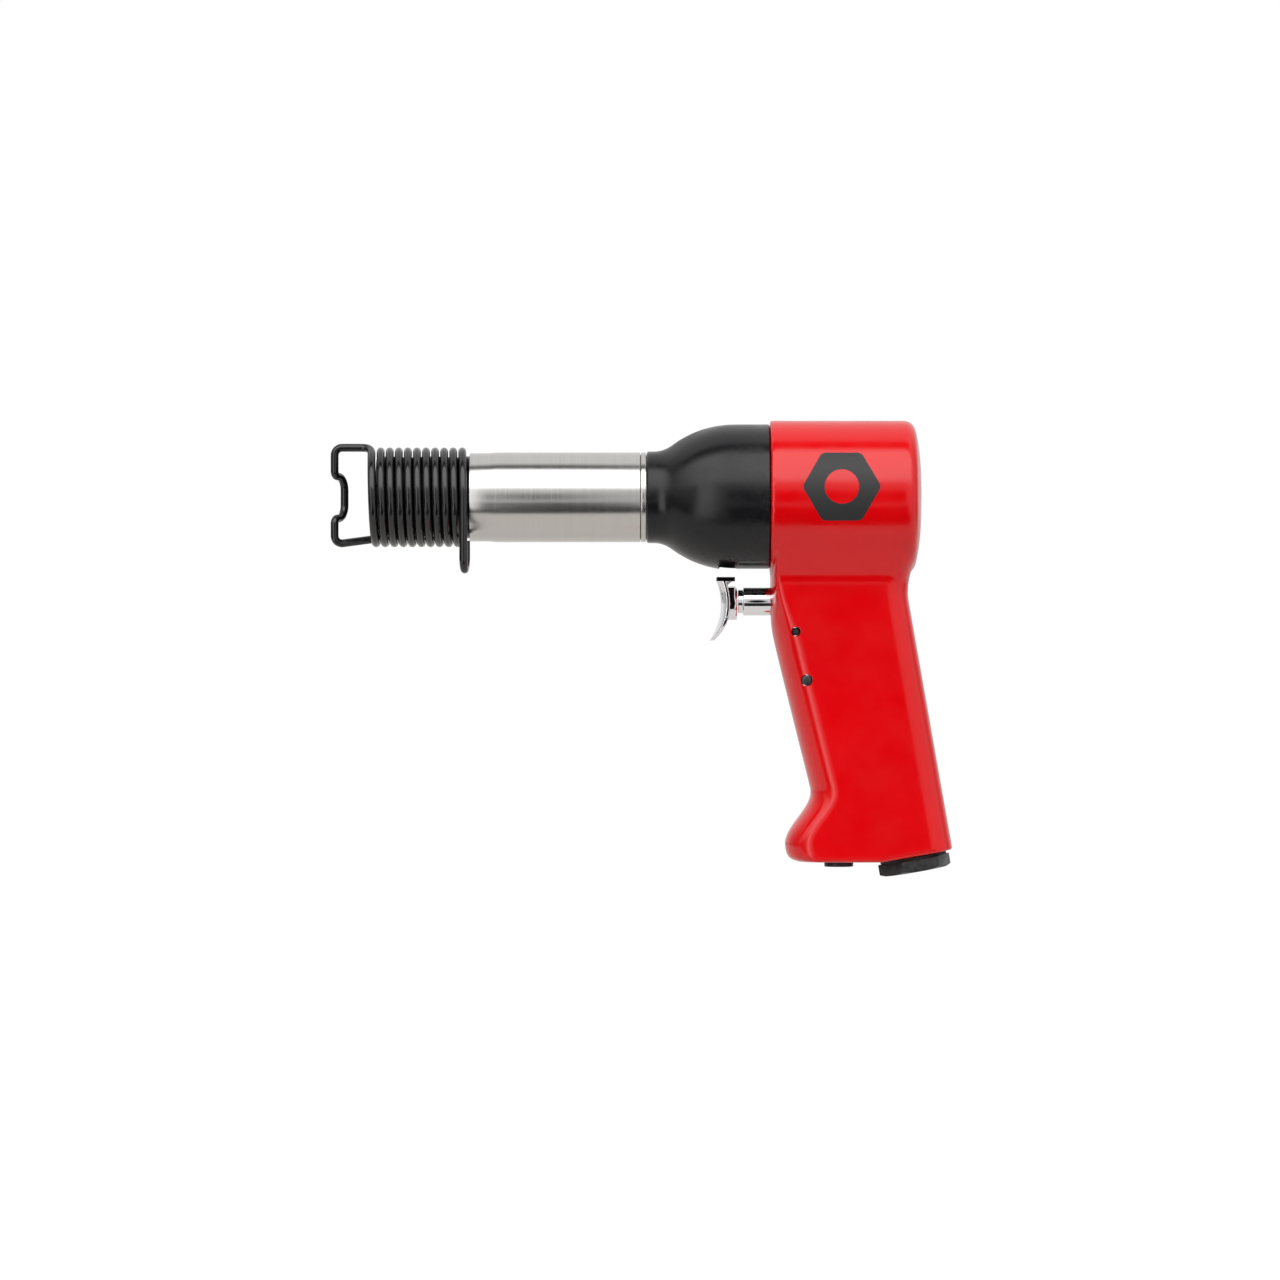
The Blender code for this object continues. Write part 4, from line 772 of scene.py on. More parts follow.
def plated(name, tint):
    """Bright plating, with a painted dark reflection on the bar along the top of the trigger."""
    made, tree, shader = material(name, 0.06, metallic=1.0)
    coords = node(tree, "ShaderNodeTexCoord").outputs["Object"]
    height = node(tree, "ShaderNodeSeparateXYZ", {0: coords}).outputs[2]
    # painted reflection: the bar along the top of the trigger is coloured near black for the dark
    # it reflects
    bar_bottom = -PLUNGER_DROP + TRIGGER_TOP - TRIGGER_BAR_OVERLAP
    bar = ranged(tree, height, bar_bottom - 0.05 * MM, bar_bottom + 0.1 * MM, 0.0, 1.0)
    haze = grouped(tree, blotches_group(), "Value", {"Scale": 150.0, "Low": 0.94, "High": 1.0})
    bright = mixed(tree, haze, tinted(tint, 0.9), tinted(tint))
    tree.links.new(mixed(tree, bar, bright, BAR_DARK_REFLECTION), shader["Base Color"])
    rough = grouped(tree, blotches_group(), "Value", {"Scale": 300.0, "Low": 0.045, "High": 0.08})
    tree.links.new(rough, shader["Roughness"])
    return made


def bare_metal(name, tint, roughness, spread, stretch, strength, black_nose_to=None):
    """Machined metal with tool lines drawn out by a stretch, dark up to a place along X."""
    made, tree, shader = material(name, roughness, metallic=1.0)
    lines = grouped(tree, grain_group(), "Height", {"Scale": 1.0, "Stretch": stretch})
    shade = mixed(tree, lines, tinted(tint, 0.94), tinted(tint, 1.05))
    # the threaded nose under the coil is coloured black up to a place along X
    if black_nose_to is not None:
        coords = node(tree, "ShaderNodeTexCoord").outputs["Object"]
        along = node(tree, "ShaderNodeSeparateXYZ", {0: coords}).outputs[0]
        nose_mask = ranged(tree, along, black_nose_to, black_nose_to + 0.2 * MM, 1.0, 0.0)
        shade = mixed(tree, nose_mask, shade, NOSE_BLACK)
        turned_sheen(tree, shader, 0.75)
    tree.links.new(shade, shader["Base Color"])
    rough = ranged(tree, lines, 0.0, 1.0, roughness - spread, roughness + spread)
    tree.links.new(rough, shader["Roughness"])
    bumped(tree, shader, lines, strength, 0.02 * MM)
    return made


def rubber(colours):
    """Matte sealing rubber."""
    made, tree, shader = material("seal_rubber_finish", 0.7, specular=0.3)
    grain = grouped(tree, grain_group(), "Height", {"Scale": 2500.0})
    tint = mixed(tree, grain, tinted(colours.rubber, 0.8), tinted(colours.rubber, 1.3))
    tree.links.new(tint, shader["Base Color"])
    bumped(tree, shader, grain, 0.2, 0.03 * MM)
    return made


def look(name):
    """A finish by its slot name, made when it is first wanted."""
    title = name + "_finish"
    if title in bpy.data.materials:
        return bpy.data.materials[title]
    colours = bpy.context.scene.air_hammer_colours
    sizes = bpy.context.scene.air_hammer_sizes
    around = (2600.0, 40.0, 40.0)
    makers = {
        "red_enamel": lambda: red_enamel(colours, sizes),
        "satin_steel": lambda: bare_metal(
            title, colours.steel, 0.25, 0.02, around, sizes.brushing, FRONT - NOSE_END
        ),
        "hardened_steel": lambda: bare_metal(title, colours.hard_steel, 0.34, 0.06, around, 0.2),
        "polished_chrome": lambda: plated(title, colours.chrome),
        "valve_brass": lambda: bare_metal(title, colours.brass, 0.3, 0.06, around, 0.2),
        "sleeve_black": lambda: coated(title, colours.sleeve, sizes, 0.25, 0.13, 60.0),
        "spring_black": lambda: coated(title, colours.spring, sizes, 0.14, 0.03, 300.0, 0.4, 0.6),
        "fitting_black": lambda: coated(title, colours.fitting, sizes, 0.36, 0.06, 200.0, 2.0),
        "seal_rubber": lambda: rubber(colours),
    }
    return makers[name]()


# ---- handle casting ------------------------------------------------------------------------


def head_profile():
    """Half outline of the head, from the spigot to the flat on its back."""
    spigot_r = BELL_R - BELL_WALL - GAP
    corner_r = HEAD_R - HEAD_CORNER_R
    reach = HEAD_DOME_R - HEAD_CORNER_R
    lean = math.asin((corner_r - HEAD_FLAT_R) / reach)
    corner_x = reach * math.cos(lean) - HEAD_DOME_R
    points = [(FRONT - SPIGOT_LENGTH, 0.0), (FRONT - SPIGOT_LENGTH, spigot_r)]
    points += [(FRONT, spigot_r), (FRONT, HEAD_R)]
    points += arc((corner_x, corner_r), HEAD_CORNER_R, math.pi / 2.0, lean, 12)
    dome = arc((-HEAD_DOME_R, HEAD_FLAT_R), HEAD_DOME_R, lean, 0.0, 8)
    return points + dome[1:] + [(0.0, 0.0)]


def grip_back(z):
    """Where the grip's back is at a height, with the fillet into the head."""
    rise = max(0.0, z + BACK_FILLET_DEPTH)
    back = GRIP_REAR_X - z * math.tan(GRIP_RAKE) + rise * rise / (2.0 * BACK_FILLET_R)
    return min(back, -BACK_SETBACK) if rise > 0.0 else back


def grip_front(z):
    """Where the grip's front is at a height: throat, waist and flared toe."""
    height = max(0.0, z - UNDERSIDE)
    waist_depth = GRIP_DEPTH - WAIST_HEIGHT
    taper = (-z - THROAT_DEPTH) / (waist_depth - THROAT_DEPTH)
    depth = GRIP_THROAT + (GRIP_WAIST - GRIP_THROAT) * min(1.0, taper)
    flare = smooth_step((WAIST_HEIGHT - height) / (WAIST_HEIGHT - TOE_HEIGHT))
    depth += (GRIP_TOE - GRIP_WAIST) * flare
    lift = max(0.0, TOE_CORNER_R - height)
    corner = TOE_CORNER_R - math.sqrt(TOE_CORNER_R**2 - lift**2)
    front = grip_back(z) - depth + corner
    flush = FRONT + GAP / 3.0
    return (front + flush + math.sqrt((front - flush) ** 2 + FRONT_BLEND**2)) / 2.0


def grip_half_width(z):
    """Half the grip's width at a height, with the straight flanks under the head."""
    flank = (HEAD_R + z * math.sin(FLANK_LEAN)) / math.cos(FLANK_LEAN)
    spread = math.sqrt((flank - GRIP_HALF_WIDTH) ** 2 + FLANK_BLEND**2)
    return (flank + GRIP_HALF_WIDTH + spread) / 2.0


def grip_front_round(z):
    """How far back the rounded front reaches at a height."""
    growth = smooth_step((-z - FRONT_ROUND_START) / (FRONT_ROUND_END - FRONT_ROUND_START))
    return FRONT_ROUND_TOP + (GRIP_FRONT_ROUND - FRONT_ROUND_TOP) * growth


def grip_ring(z):
    """One level section of the grip: a round front, flat sides and a rounded back."""
    front, back, half = grip_front(z), grip_back(z), grip_half_width(z)
    reach = grip_front_round(z)
    ring = []
    for x, y in arc((0.0, 0.0), 1.0, math.pi / 2.0, math.pi * 1.5, 36):
        ring.append((front + reach * (1.0 + x), half * y, z))
    corner = arc((0.0, 0.0), 1.0, math.pi / 2.0, 0.0, 12)
    low = []
    for x, y in corner:
        along = back - GRIP_BACK_ROUND_X * (1.0 - x)
        low.append((along, half - GRIP_BACK_ROUND_Y * (1.0 - y), z))
    ring += [(x, -y, z) for x, y, z in low] + low[::-1]
    return ring


def grip_solid():
    """The grip, closer sections than it needs, cut to its underside."""
    count = round((GRIP_DEPTH + OVERCUT - GRIP_START) / LEVEL_STEP)
    drop = (GRIP_DEPTH + OVERCUT - GRIP_START) / count
    shape = lofted([grip_ring(-GRIP_START - drop * i) for i in range(count + 1)])
    sliced(shape, FOOT_BREAK, (0.0, 0.0, -1.0))
    return sliced(shape, FOOT_BREAK, INLET_AXIS)


def inlet_point(height):
    """A point on the inlet's axis, at a height above the underside."""
    run = (INLET_BACK - FOOT_FLAT_LENGTH) / math.cos(GRIP_RAKE)
    along = Vector((math.cos(GRIP_RAKE), 0.0, math.sin(GRIP_RAKE)))
    return FOOT_BREAK + along * run - INLET_AXIS * height


def head_cavity():
    """Barrel bore, valve bore and the air chamber behind them."""
    bore_r = THREAD_R + GAP
    start, end = FRONT - SPIGOT_LENGTH - OVERCUT, FRONT + BORE_DEPTH
    profile = [(start, 0.0), (start, bore_r), (end, bore_r), (end, AIR_CHAMBER_R)]
    profile += [(-AIR_CHAMBER_WALL, AIR_CHAMBER_R), (-AIR_CHAMBER_WALL, 0.0)]
    return turned(profile, FINE)


def side_hole(place, radius):
    """A hole through the grip with a broken edge at each mouth."""
    end = GRIP_HALF_WIDTH + OVERCUT
    rim = GRIP_HALF_WIDTH - RIM_BREAK
    flare = radius + RIM_BREAK + OVERCUT
    half = [(rim, radius), (end, flare)]
    profile = [(-end, 0.0)] + [(-x, r) for x, r in half[::-1]] + half + [(end, 0.0)]
    return aimed(turned(profile, 48), (0.0, 1.0, 0.0), Vector((place.x, 0.0, place.z)))


def handle_holes():
    """Everything that is bored into the casting."""
    throat = Vector((FRONT - SPIGOT_LENGTH - OVERCUT, 0.0, -PLUNGER_DROP))
    plunger_depth = SPIGOT_LENGTH + OVERCUT + PLUNGER_BACK + TRIGGER_TRAVEL + PLUNGER_ROOM
    throttle = PIVOT + PIN_LINE * THROTTLE_BORE[0]
    throttle_depth = THROTTLE_BORE[1] - THROTTLE_BORE[0]
    cross = Vector((PIVOT.x, 0.0, -CROSS_DROP))
    cross_length = FRONT + RISER_BACK - PIVOT.x
    riser = Vector((FRONT + RISER_BACK, 0.0, -CROSS_DROP - PASSAGE_R))
    regulator = (REGULATOR_X, 0.0, UNDERSIDE - OVERCUT)
    regulator_depth = OVERCUT + REGULATOR_LENGTH + REGULATOR_ROOM
    feed = Vector((REGULATOR_X, 0.0, UNDERSIDE + FEED_HEIGHT))
    feed_length = inlet_point(FEED_HEIGHT).x - REGULATOR_X
    inlet_depth = OVERCUT + INLET_SPIGOT_LENGTH + 2.0 * GAP + SCREEN_THICKNESS
    chamber = inlet_depth - OVERCUT + INLET_CHAMBER_LENGTH
    return [
        head_cavity(),
        rod(throat, (1, 0, 0), plunger_depth, PLUNGER_R + GAP, 64),
        block(PIVOT + Vector(LEVER_ROOM[0]), PIVOT + Vector(LEVER_ROOM[1])),
        rod(throttle, PIN_LINE, throttle_depth, THROTTLE_BORE_R),
        side_hole(PIVOT, PIVOT_HOLE_R),
        side_hole(REST_PIN, REST_PIN_R + GAP),
        rod(cross, (1, 0, 0), cross_length, PASSAGE_R),
        rod(riser, (0, 0, 1), -AIR_CHAMBER_R / 2.0 - riser.z, PASSAGE_R),
        rod(regulator, (0, 0, 1), regulator_depth, REGULATOR_STEM_R + GAP),
        rod(feed, (1, 0, 0), feed_length, PASSAGE_R),
        rod(inlet_point(-OVERCUT), -INLET_AXIS, inlet_depth, INLET_SPIGOT_R + GAP),
        rod(inlet_point(OVERCUT), -INLET_AXIS, chamber, INLET_CHAMBER_R),
    ]


class AIRHAMMER_OT_handle(bpy.types.Operator):
    """Cast and enamelled handle with its bores"""

    bl_idname = "air_hammer.handle"
    bl_label = "Handle Casting"

    def execute(self, context):
        casting = solid("handle", turned(head_profile()))
        shaped(casting, "UNION", grip_solid())
        blended(casting, CASTING_VOXEL, CASTING_SMOOTHING)
        shaped(casting, "DIFFERENCE", *handle_holes())
        finished(casting, look("red_enamel"), "handle", "red_enamel", "handle_casting")
        return {"FINISHED"}


# ---- barrel --------------------------------------------------------------------------------


def nose_thread():
    """Rounded thread crests on the nose, under the coil."""
    points = []
    run = NOSE_TIP - NOSE_END - 2.0 * COIL_PITCH
    pitch = run / NOSE_THREADS
    start = FRONT - NOSE_TIP + COIL_PITCH
    for i in range(NOSE_THREADS * 6 + 1):
        dip = NOSE_THREAD_DEPTH * 0.5 * (1.0 - math.cos(2.0 * math.pi * i / 6.0))
        points.append((start + pitch * i / 6.0, NOSE_R - dip))
    return points


class AIRHAMMER_OT_barrel(bpy.types.Operator):
    """Ground barrel, the ring behind it and the bush for the chisel"""

    bl_idname = "air_hammer.barrel"
    bl_label = "Barrel"

    def execute(self, context):
        bush_end = FRONT - NOSE_TIP + BUSH_LENGTH + 2.0 * GAP
        profile = [
            (FRONT - NOSE_TIP, BUSH_R + GAP),
            (FRONT - NOSE_TIP, NOSE_R - NOSE_CHAMFER),
            (FRONT - NOSE_TIP + NOSE_CHAMFER, NOSE_R),
            *nose_thread(),
            (FRONT - NOSE_END, NOSE_R),
            (FRONT - NOSE_END, BARREL_FRONT_R),
            (FRONT - FRONT_STEP_END, BARREL_FRONT_R),
            (FRONT - FRONT_STEP_END + FRONT_TAPER, BARREL_R),
            (FRONT - BARREL_SHOULDER, BARREL_R),
            (FRONT - BARREL_SHOULDER, THREAD_R),
            (FRONT + THREAD_LENGTH, THREAD_R),
            (FRONT + THREAD_LENGTH, PISTON_BORE_R),
            (bush_end, PISTON_BORE_R),
            (bush_end, BUSH_R + GAP),
        ]
        steel = look("satin_steel")
        barrel = solid("barrel_tube", softened(turned(profile), 0.25 * MM, 2))
        port = FRONT - EXHAUST_PORT_AT
        span = 2.0 * (THREAD_R + OVERCUT)
        second = port + EXHAUST_PORT_SPACING
        flat = rod((port, -span / 2.0, 0.0), (0, 1, 0), span, EXHAUST_PORT_R)
        upright = rod((second, 0.0, -span / 2.0), (0, 0, 1), span, EXHAUST_PORT_R)
        shaped(barrel, "DIFFERENCE", flat, upright)
        finished(barrel, steel, "handle", "satin_steel", "barrel")

        start = FRONT - BARREL_SHOULDER + GAP
        end = FRONT - BELL_FRONT - GAP
        inner = THREAD_R + GAP
        profile = [(start, inner), (start, BARREL_R), (end, BARREL_R), (end, inner)]
        collar = solid("barrel_collar", softened(turned(profile), 0.2 * MM, 2))
        finished(collar, steel, "handle", "satin_steel", "barrel_ring")

        start = FRONT - NOSE_TIP + BUSH_SETBACK
        end = FRONT - NOSE_TIP + BUSH_LENGTH
        profile = [
            (start + BUSH_CHAMFER, SHANK_BORE_R),
            (start, SHANK_BORE_R + BUSH_CHAMFER),
            (start, BUSH_R),
            (end, BUSH_R),
            (end, SHANK_BORE_R),
        ]
        bush = solid("chisel_bushing", turned(profile, 96))
        finished(bush, look("hardened_steel"), "handle", "hardened_steel", "chisel_bush")
        return {"FINISHED"}


# ---- bell sleeve ---------------------------------------------------------------------------


def bell_outline(shift):
    """Throat and shoulder arcs of the bell, offset inwards by a wall."""
    shoulder_r, throat_r = BELL_SHOULDER_R - shift, BELL_THROAT_R + shift
    shoulder = (FRONT - BELL_SHOULDER_AT, BELL_R - BELL_SHOULDER_R)
    rise = BELL_LIP_R + BELL_THROAT_R - shoulder[1]
    lean = math.acos(rise / (BELL_SHOULDER_R + BELL_THROAT_R))
    throat_x = shoulder[0] - (BELL_SHOULDER_R + BELL_THROAT_R) * math.sin(lean)
    throat = (throat_x, BELL_LIP_R + BELL_THROAT_R)
    low = arc(throat, throat_r, -math.pi / 2.0, -math.pi / 2.0 + lean, 10)
    high = arc(shoulder, shoulder_r, math.pi / 2.0 + lean, math.pi / 2.0, 18)
    return low + high[1:]


class AIRHAMMER_OT_bell(bpy.types.Operator):
    """Black bell-shaped exhaust sleeve with its notch"""

    bl_idname = "air_hammer.bell"
    bl_label = "Bell Sleeve"

    def execute(self, context):
        bore = THREAD_R + GAP
        start, end = FRONT - BELL_FRONT, FRONT - GAP
        edge = BELL_LIP / 2.0
        outer = [(start, BELL_LIP_R - BELL_LIP), (start + BELL_LIP, BELL_LIP_R)]
        outer += bell_outline(0.0)[1:] + [(end - edge, BELL_R), (end, BELL_R - edge)]
        inner = [(x, r) for x, r in bell_outline(BELL_WALL) if r > bore + GAP]
        inner = [(start, bore), (inner[0][0] - BELL_WALL, bore)] + inner
        inner.append((end, BELL_R - BELL_WALL))
        sleeve = solid("exhaust_bell", turned(outer + inner[::-1]))
        notch = block(
            (FRONT - NOTCH_FRONT, -NOTCH_HALF_WIDTH, -BELL_R - OVERCUT),
            (FRONT - NOTCH_BACK, NOTCH_HALF_WIDTH, -BELL_R + NOTCH_DEPTH),
        )
        softened(notch, NOTCH_ROUND, 4)
        flat = block(
            (FRONT - NOTCH_BACK - BELL_FLAT_START, -BELL_R, -BELL_R - OVERCUT),
            (FRONT + OVERCUT, BELL_R, -BELL_R + BELL_FLAT_DEPTH),
        )
        shaped(sleeve, "DIFFERENCE", notch, flat)
        finished(sleeve, look("sleeve_black"), "handle", "sleeve_black", "bell_sleeve", angle=25.0)
        return {"FINISHED"}


# ---- trigger -------------------------------------------------------------------------------


def trigger_face(z):
    """The finger curve's place at a height, on the middle line."""
    centre_x = FRONT - TRIGGER_FACE_AT - TRIGGER_FACE_R
    drop = z + PLUNGER_DROP + TRIGGER_FACE_DROP
    return centre_x + math.sqrt(TRIGGER_FACE_R**2 - drop**2)


def blade_shape():
    """The curved and crowned finger plate, from a grid bent to shape and thickened."""
    shape = bmesh.new()
    bmesh.ops.create_grid(shape, x_segments=32, y_segments=48, size=1.0)
    for vert in shape.verts:
        side, down = vert.co.x, (vert.co.y + 1.0) / 2.0
        z = -PLUNGER_DROP + TRIGGER_TOP - (TRIGGER_TOP + TRIGGER_TIP) * down
        taper = max(0.0, (down - 0.5) / (0.5 + BLADE_BLUNTNESS / 2.0))
        half = TRIGGER_HALF_WIDTH * math.sqrt(1.0 - taper**BLADE_ROUNDING)
        crown = TRIGGER_CROWN * (side * half / TRIGGER_HALF_WIDTH) ** 2
        vert.co = (trigger_face(z) + crown, side * half, z)
    bmesh.ops.recalc_face_normals(shape, faces=shape.faces)
    grown = bmesh.ops.extrude_face_region(shape, geom=shape.faces[:], use_keep_orig=True)
    moved = [item for item in grown["geom"] if isinstance(item, bmesh.types.BMVert)]
    bmesh.ops.translate(shape, verts=moved, vec=(TRIGGER_PLATE, 0.0, 0.0))
    bmesh.ops.recalc_face_normals(shape, faces=shape.faces)
    return shape


def web_outline(bar_back, bar_bottom, boss_back, boss_bottom):
    """The web that joins the bar, the plate and the boss, with a hollowed back."""
    radius = bar_bottom - (-PLUNGER_DROP - BOSS_DROP + BOSS_R) + 1.2 * MM
    hollow = arc((bar_back, bar_bottom - radius), radius, math.pi / 2.0, math.pi, 8)
    face_x = trigger_face(boss_bottom) + TRIGGER_PLATE / 2.0
    top_x = trigger_face(bar_bottom) + TRIGGER_PLATE / 2.0
    return [(face_x, boss_bottom), (top_x, bar_bottom)] + hollow + [(hollow[-1][0], boss_bottom)]


def plunger_shape():
    """The plated plunger with its neck and the groove for its seal."""
    boss_back = FRONT - PLUNGER_FRONT - NECK_LENGTH
    groove = FRONT + SEAL_GROOVE_AT
    groove_r = PLUNGER_R - SEAL_GROOVE_DEPTH
    end = FRONT + PLUNGER_BACK
    profile = [
        (boss_back + GAP, 0.0),
        (boss_back + GAP, NECK_R),
        (FRONT - PLUNGER_FRONT, NECK_R),
        (FRONT - PLUNGER_FRONT, PLUNGER_R),
        (groove, PLUNGER_R),
        (groove, groove_r),
        (groove + SEAL_GROOVE_WIDTH, groove_r),
        (groove + SEAL_GROOVE_WIDTH, PLUNGER_R),
        (end, PLUNGER_R),
        (end, 0.0),
    ]
    shape = softened(turned(profile, 96), 0.3 * MM, 3)
    return aimed(shape, (1, 0, 0), Vector((0.0, 0.0, -PLUNGER_DROP)))


class AIRHAMMER_OT_trigger(bpy.types.Operator):
    """Chromed trigger and its plunger"""

    bl_idname = "air_hammer.trigger"
    bl_label = "Trigger"

    def execute(self, context):
        chrome = look("polished_chrome")
        top = -PLUNGER_DROP + TRIGGER_TOP
        bar_top = top + TRIGGER_BAR_HEIGHT - TRIGGER_BAR_OVERLAP
        bar_front = trigger_face(top) - TRIGGER_BAR_LIP
        bar_back = bar_front + TRIGGER_BAR_LENGTH
        bar_bottom = bar_top - TRIGGER_BAR_HEIGHT
        bar = block(
            (bar_front, -TRIGGER_HALF_WIDTH, bar_bottom), (bar_back, TRIGGER_HALF_WIDTH, bar_top)
        )
        boss_back = FRONT - PLUNGER_FRONT - NECK_LENGTH
        boss_z = -PLUNGER_DROP - BOSS_DROP
        boss = rod((boss_back - BOSS_LENGTH, 0.0, boss_z), (1, 0, 0), BOSS_LENGTH, BOSS_R, 96)
        softened(boss, 0.7 * MM, 4)
        outline = web_outline(bar_back, bar_bottom, boss_back, boss_z)
        blade = solid("trigger_finger", blade_shape())
        web = extruded(outline, WEB_HALF_WIDTH)
        rib_top = boss_z + BOSS_R + 0.2 * MM
        rib = block(
            (boss_back - BOSS_LENGTH, -BOSS_R, rib_top - RIB_DEPTH),
            (boss_back - RIB_SETBACK, BOSS_R, rib_top),
        )
        shaped(blade, "UNION", bar, boss, rib, web)
        blended(blade, TRIGGER_VOXEL, TRIGGER_SMOOTHING)
        finished(blade, chrome, "trigger", "polished_chrome", "trigger_blade", angle=60.0)

        plunger = solid("trigger_stem", plunger_shape())
        origin = Vector((PIVOT.x, 0.0, -PLUNGER_DROP))
        slots = [
            block(origin + Vector(low), origin + Vector(high)) for low, high in (TIP_SLOT, ARM_SLOT)
        ]
        shaped(plunger, "DIFFERENCE", *slots)
        finished(plunger, chrome, "trigger", "polished_chrome", "trigger_plunger")
        return {"FINISHED"}


# ---- regulator, inlet and pins -------------------------------------------------------------


def regulator_piece():
    foot = Vector((REGULATOR_X, 0.0, UNDERSIDE))
    bottom = -GAP - REGULATOR_DISC_THICKNESS
    groove_start, groove_end, groove_r = REGULATOR_GROOVE
    profile = [
        (bottom, 0.0),
        (bottom, REGULATOR_DISC_R),
        (-GAP, REGULATOR_DISC_R),
        (-GAP, REGULATOR_STEM_R),
        (groove_start, REGULATOR_STEM_R),
        (groove_start, groove_r),
        (groove_end, groove_r),
        (groove_end, REGULATOR_STEM_R),
        (REGULATOR_LENGTH, REGULATOR_STEM_R),
        (REGULATOR_LENGTH, REGULATOR_HOLLOW_R),
        (REGULATOR_HOLLOW_START, REGULATOR_HOLLOW_R),
        (REGULATOR_HOLLOW_START, 0.0),
    ]
    shape = aimed(softened(turned(profile, 96), 0.3 * MM, 3), (0, 0, 1), foot)
    spindle = solid("regulator_screw", shape)
    reach = REGULATOR_DISC_R + OVERCUT
    window_place = foot + Vector((0.0, 0.0, FEED_HEIGHT))
    window = rod(window_place, (1, 0, 0), REGULATOR_STEM_R + OVERCUT, REGULATOR_WINDOW_R)
    slot = block(
        foot + Vector((-reach, -SLOT_WIDTH / 2.0, bottom - OVERCUT)),
        foot + Vector((reach, SLOT_WIDTH / 2.0, bottom + SLOT_DEPTH)),
    )
    shaped(spindle, "DIFFERENCE", window, slot)
    finished(spindle, look("fitting_black"), "regulator", "fitting_black", "regulator_spindle")


def port_shape(start, end):
    """The pipe thread bore: a run of grooves about X with a countersink at its end."""
    profile = [(start, 0.0), (start, INLET_BORE_R)]
    first = end - PIPE_THREAD_PITCH * (PIPE_THREADS + 1)
    for i in range(PIPE_THREADS):
        along = first + PIPE_THREAD_PITCH * i
        profile.append((along, INLET_BORE_R))
        profile.append((along + PIPE_THREAD_PITCH / 2.0, INLET_BORE_R + PIPE_THREAD_DEPTH))
    mouth = end - 1.0 * MM
    profile += [(mouth, INLET_BORE_R), (end + OVERCUT, INLET_BORE_R + 1.0 * MM + OVERCUT)]
    return turned(profile + [(end + OVERCUT, 0.0)], 96)


def inlet_piece():
    """Hexagonal bushing and its sealing ring; distances run down the inlet's axis."""
    face = inlet_point(0.0)
    hex_top = INLET_SEAL_THICKNESS + 1.2 * GAP
    hex_end = INLET_SEAL_THICKNESS + 2.0 * GAP + INLET_HEX_HEIGHT
    corner_r = INLET_HEX_ACROSS / math.sqrt(3.0)
    hexagon = bmesh.new()
    bmesh.ops.create_cone(
        hexagon,
        cap_ends=True,
        segments=6,
        depth=hex_end - hex_top,
        radius1=corner_r,
        radius2=corner_r,
    )
    for turn, axis in ((math.pi / 2.0, "Y"), (math.pi / 6.0 - INLET_HEX_TURN, "X")):
        bmesh.ops.rotate(hexagon, verts=hexagon.verts, matrix=Matrix.Rotation(turn, 3, axis))
    bmesh.ops.translate(
        hexagon, verts=hexagon.verts, vec=((hex_top + hex_end) / 2.0, 0.0, 0.0)
    )
    softened(hexagon, 0.25 * MM, 2)
    bushing = solid("inlet_fitting", aimed(hexagon, INLET_AXIS, face))
    cone = [
        (hex_top - OVERCUT, 0.0),
        (hex_top - OVERCUT, corner_r + OVERCUT),
        (hex_end - INLET_CHAMFER, corner_r + INLET_HEX_TRIM),
        (hex_end, INLET_HEX_ACROSS / 2.0 - INLET_HEX_TRIM),
        (hex_end, 0.0),
    ]
    shaped(bushing, "INTERSECT", aimed(turned(cone, 192), INLET_AXIS, face))
    spigot_length = INLET_SPIGOT_LENGTH + hex_top + OVERCUT
    spigot = rod(inlet_point(INLET_SPIGOT_LENGTH), INLET_AXIS, spigot_length, INLET_SPIGOT_R, 96)
    shaped(bushing, "UNION", spigot)
    port = port_shape(-INLET_SPIGOT_LENGTH - OVERCUT, hex_end)
    shaped(bushing, "DIFFERENCE", aimed(port, INLET_AXIS, face))
    black = look("fitting_black")
    finished(bushing, black, "handle", "fitting_black", "inlet_bushing", angle=25.0)

    inner = INLET_SPIGOT_R + GAP
    end = GAP + INLET_SEAL_THICKNESS
    profile = [(GAP, inner), (GAP, INLET_SEAL_OUTER_R), (end, INLET_SEAL_OUTER_R), (end, inner)]
    ring = softened(turned(profile, 96), 0.3 * MM, 3)
    washer = solid("inlet_washer", aimed(ring, INLET_AXIS, face))
    finished(washer, look("seal_rubber"), "handle", "seal_rubber", "inlet_seal")


def pin_piece(name, node_name, place, radius, recess):
    """A cross pin with domed ends."""
    half = GRIP_HALF_WIDTH - recess
    pin = softened(rod((0.0, 0.0, 0.0), (1, 0, 0), 2.0 * half, radius), 0.4 * MM, 3)
    made = solid(name, aimed(pin, (0, 1, 0), Vector((place.x, -half, place.z))))
    finished(made, look("hardened_steel"), "handle", "hardened_steel", node_name)


class AIRHAMMER_OT_fittings(bpy.types.Operator):
    """Regulator screw, inlet bushing with its washer, and the two cross pins"""

    bl_idname = "air_hammer.fittings"
    bl_label = "Fittings and Pins"

    def execute(self, context):
        regulator_piece()
        inlet_piece()
        pin_piece("pivot_pin", "lever_pivot_pin", PIVOT, PIVOT_PIN_R, PIVOT_PIN_RECESS)
        pin_piece("rest_pin", "spring_rest_pin", REST_PIN, REST_PIN_R, REST_PIN_RECESS)
        return {"FINISHED"}


# ---- retainer ------------------------------------------------------------------------------


def coil_point(angle):
    """A point of the coil's wire; the wire starts at the top of the nose."""
    x = FRONT - COIL_FRONT + COIL_PITCH * angle / (2.0 * math.pi)
    return Vector((x, -COIL_R * math.sin(angle), COIL_R * math.cos(angle)))


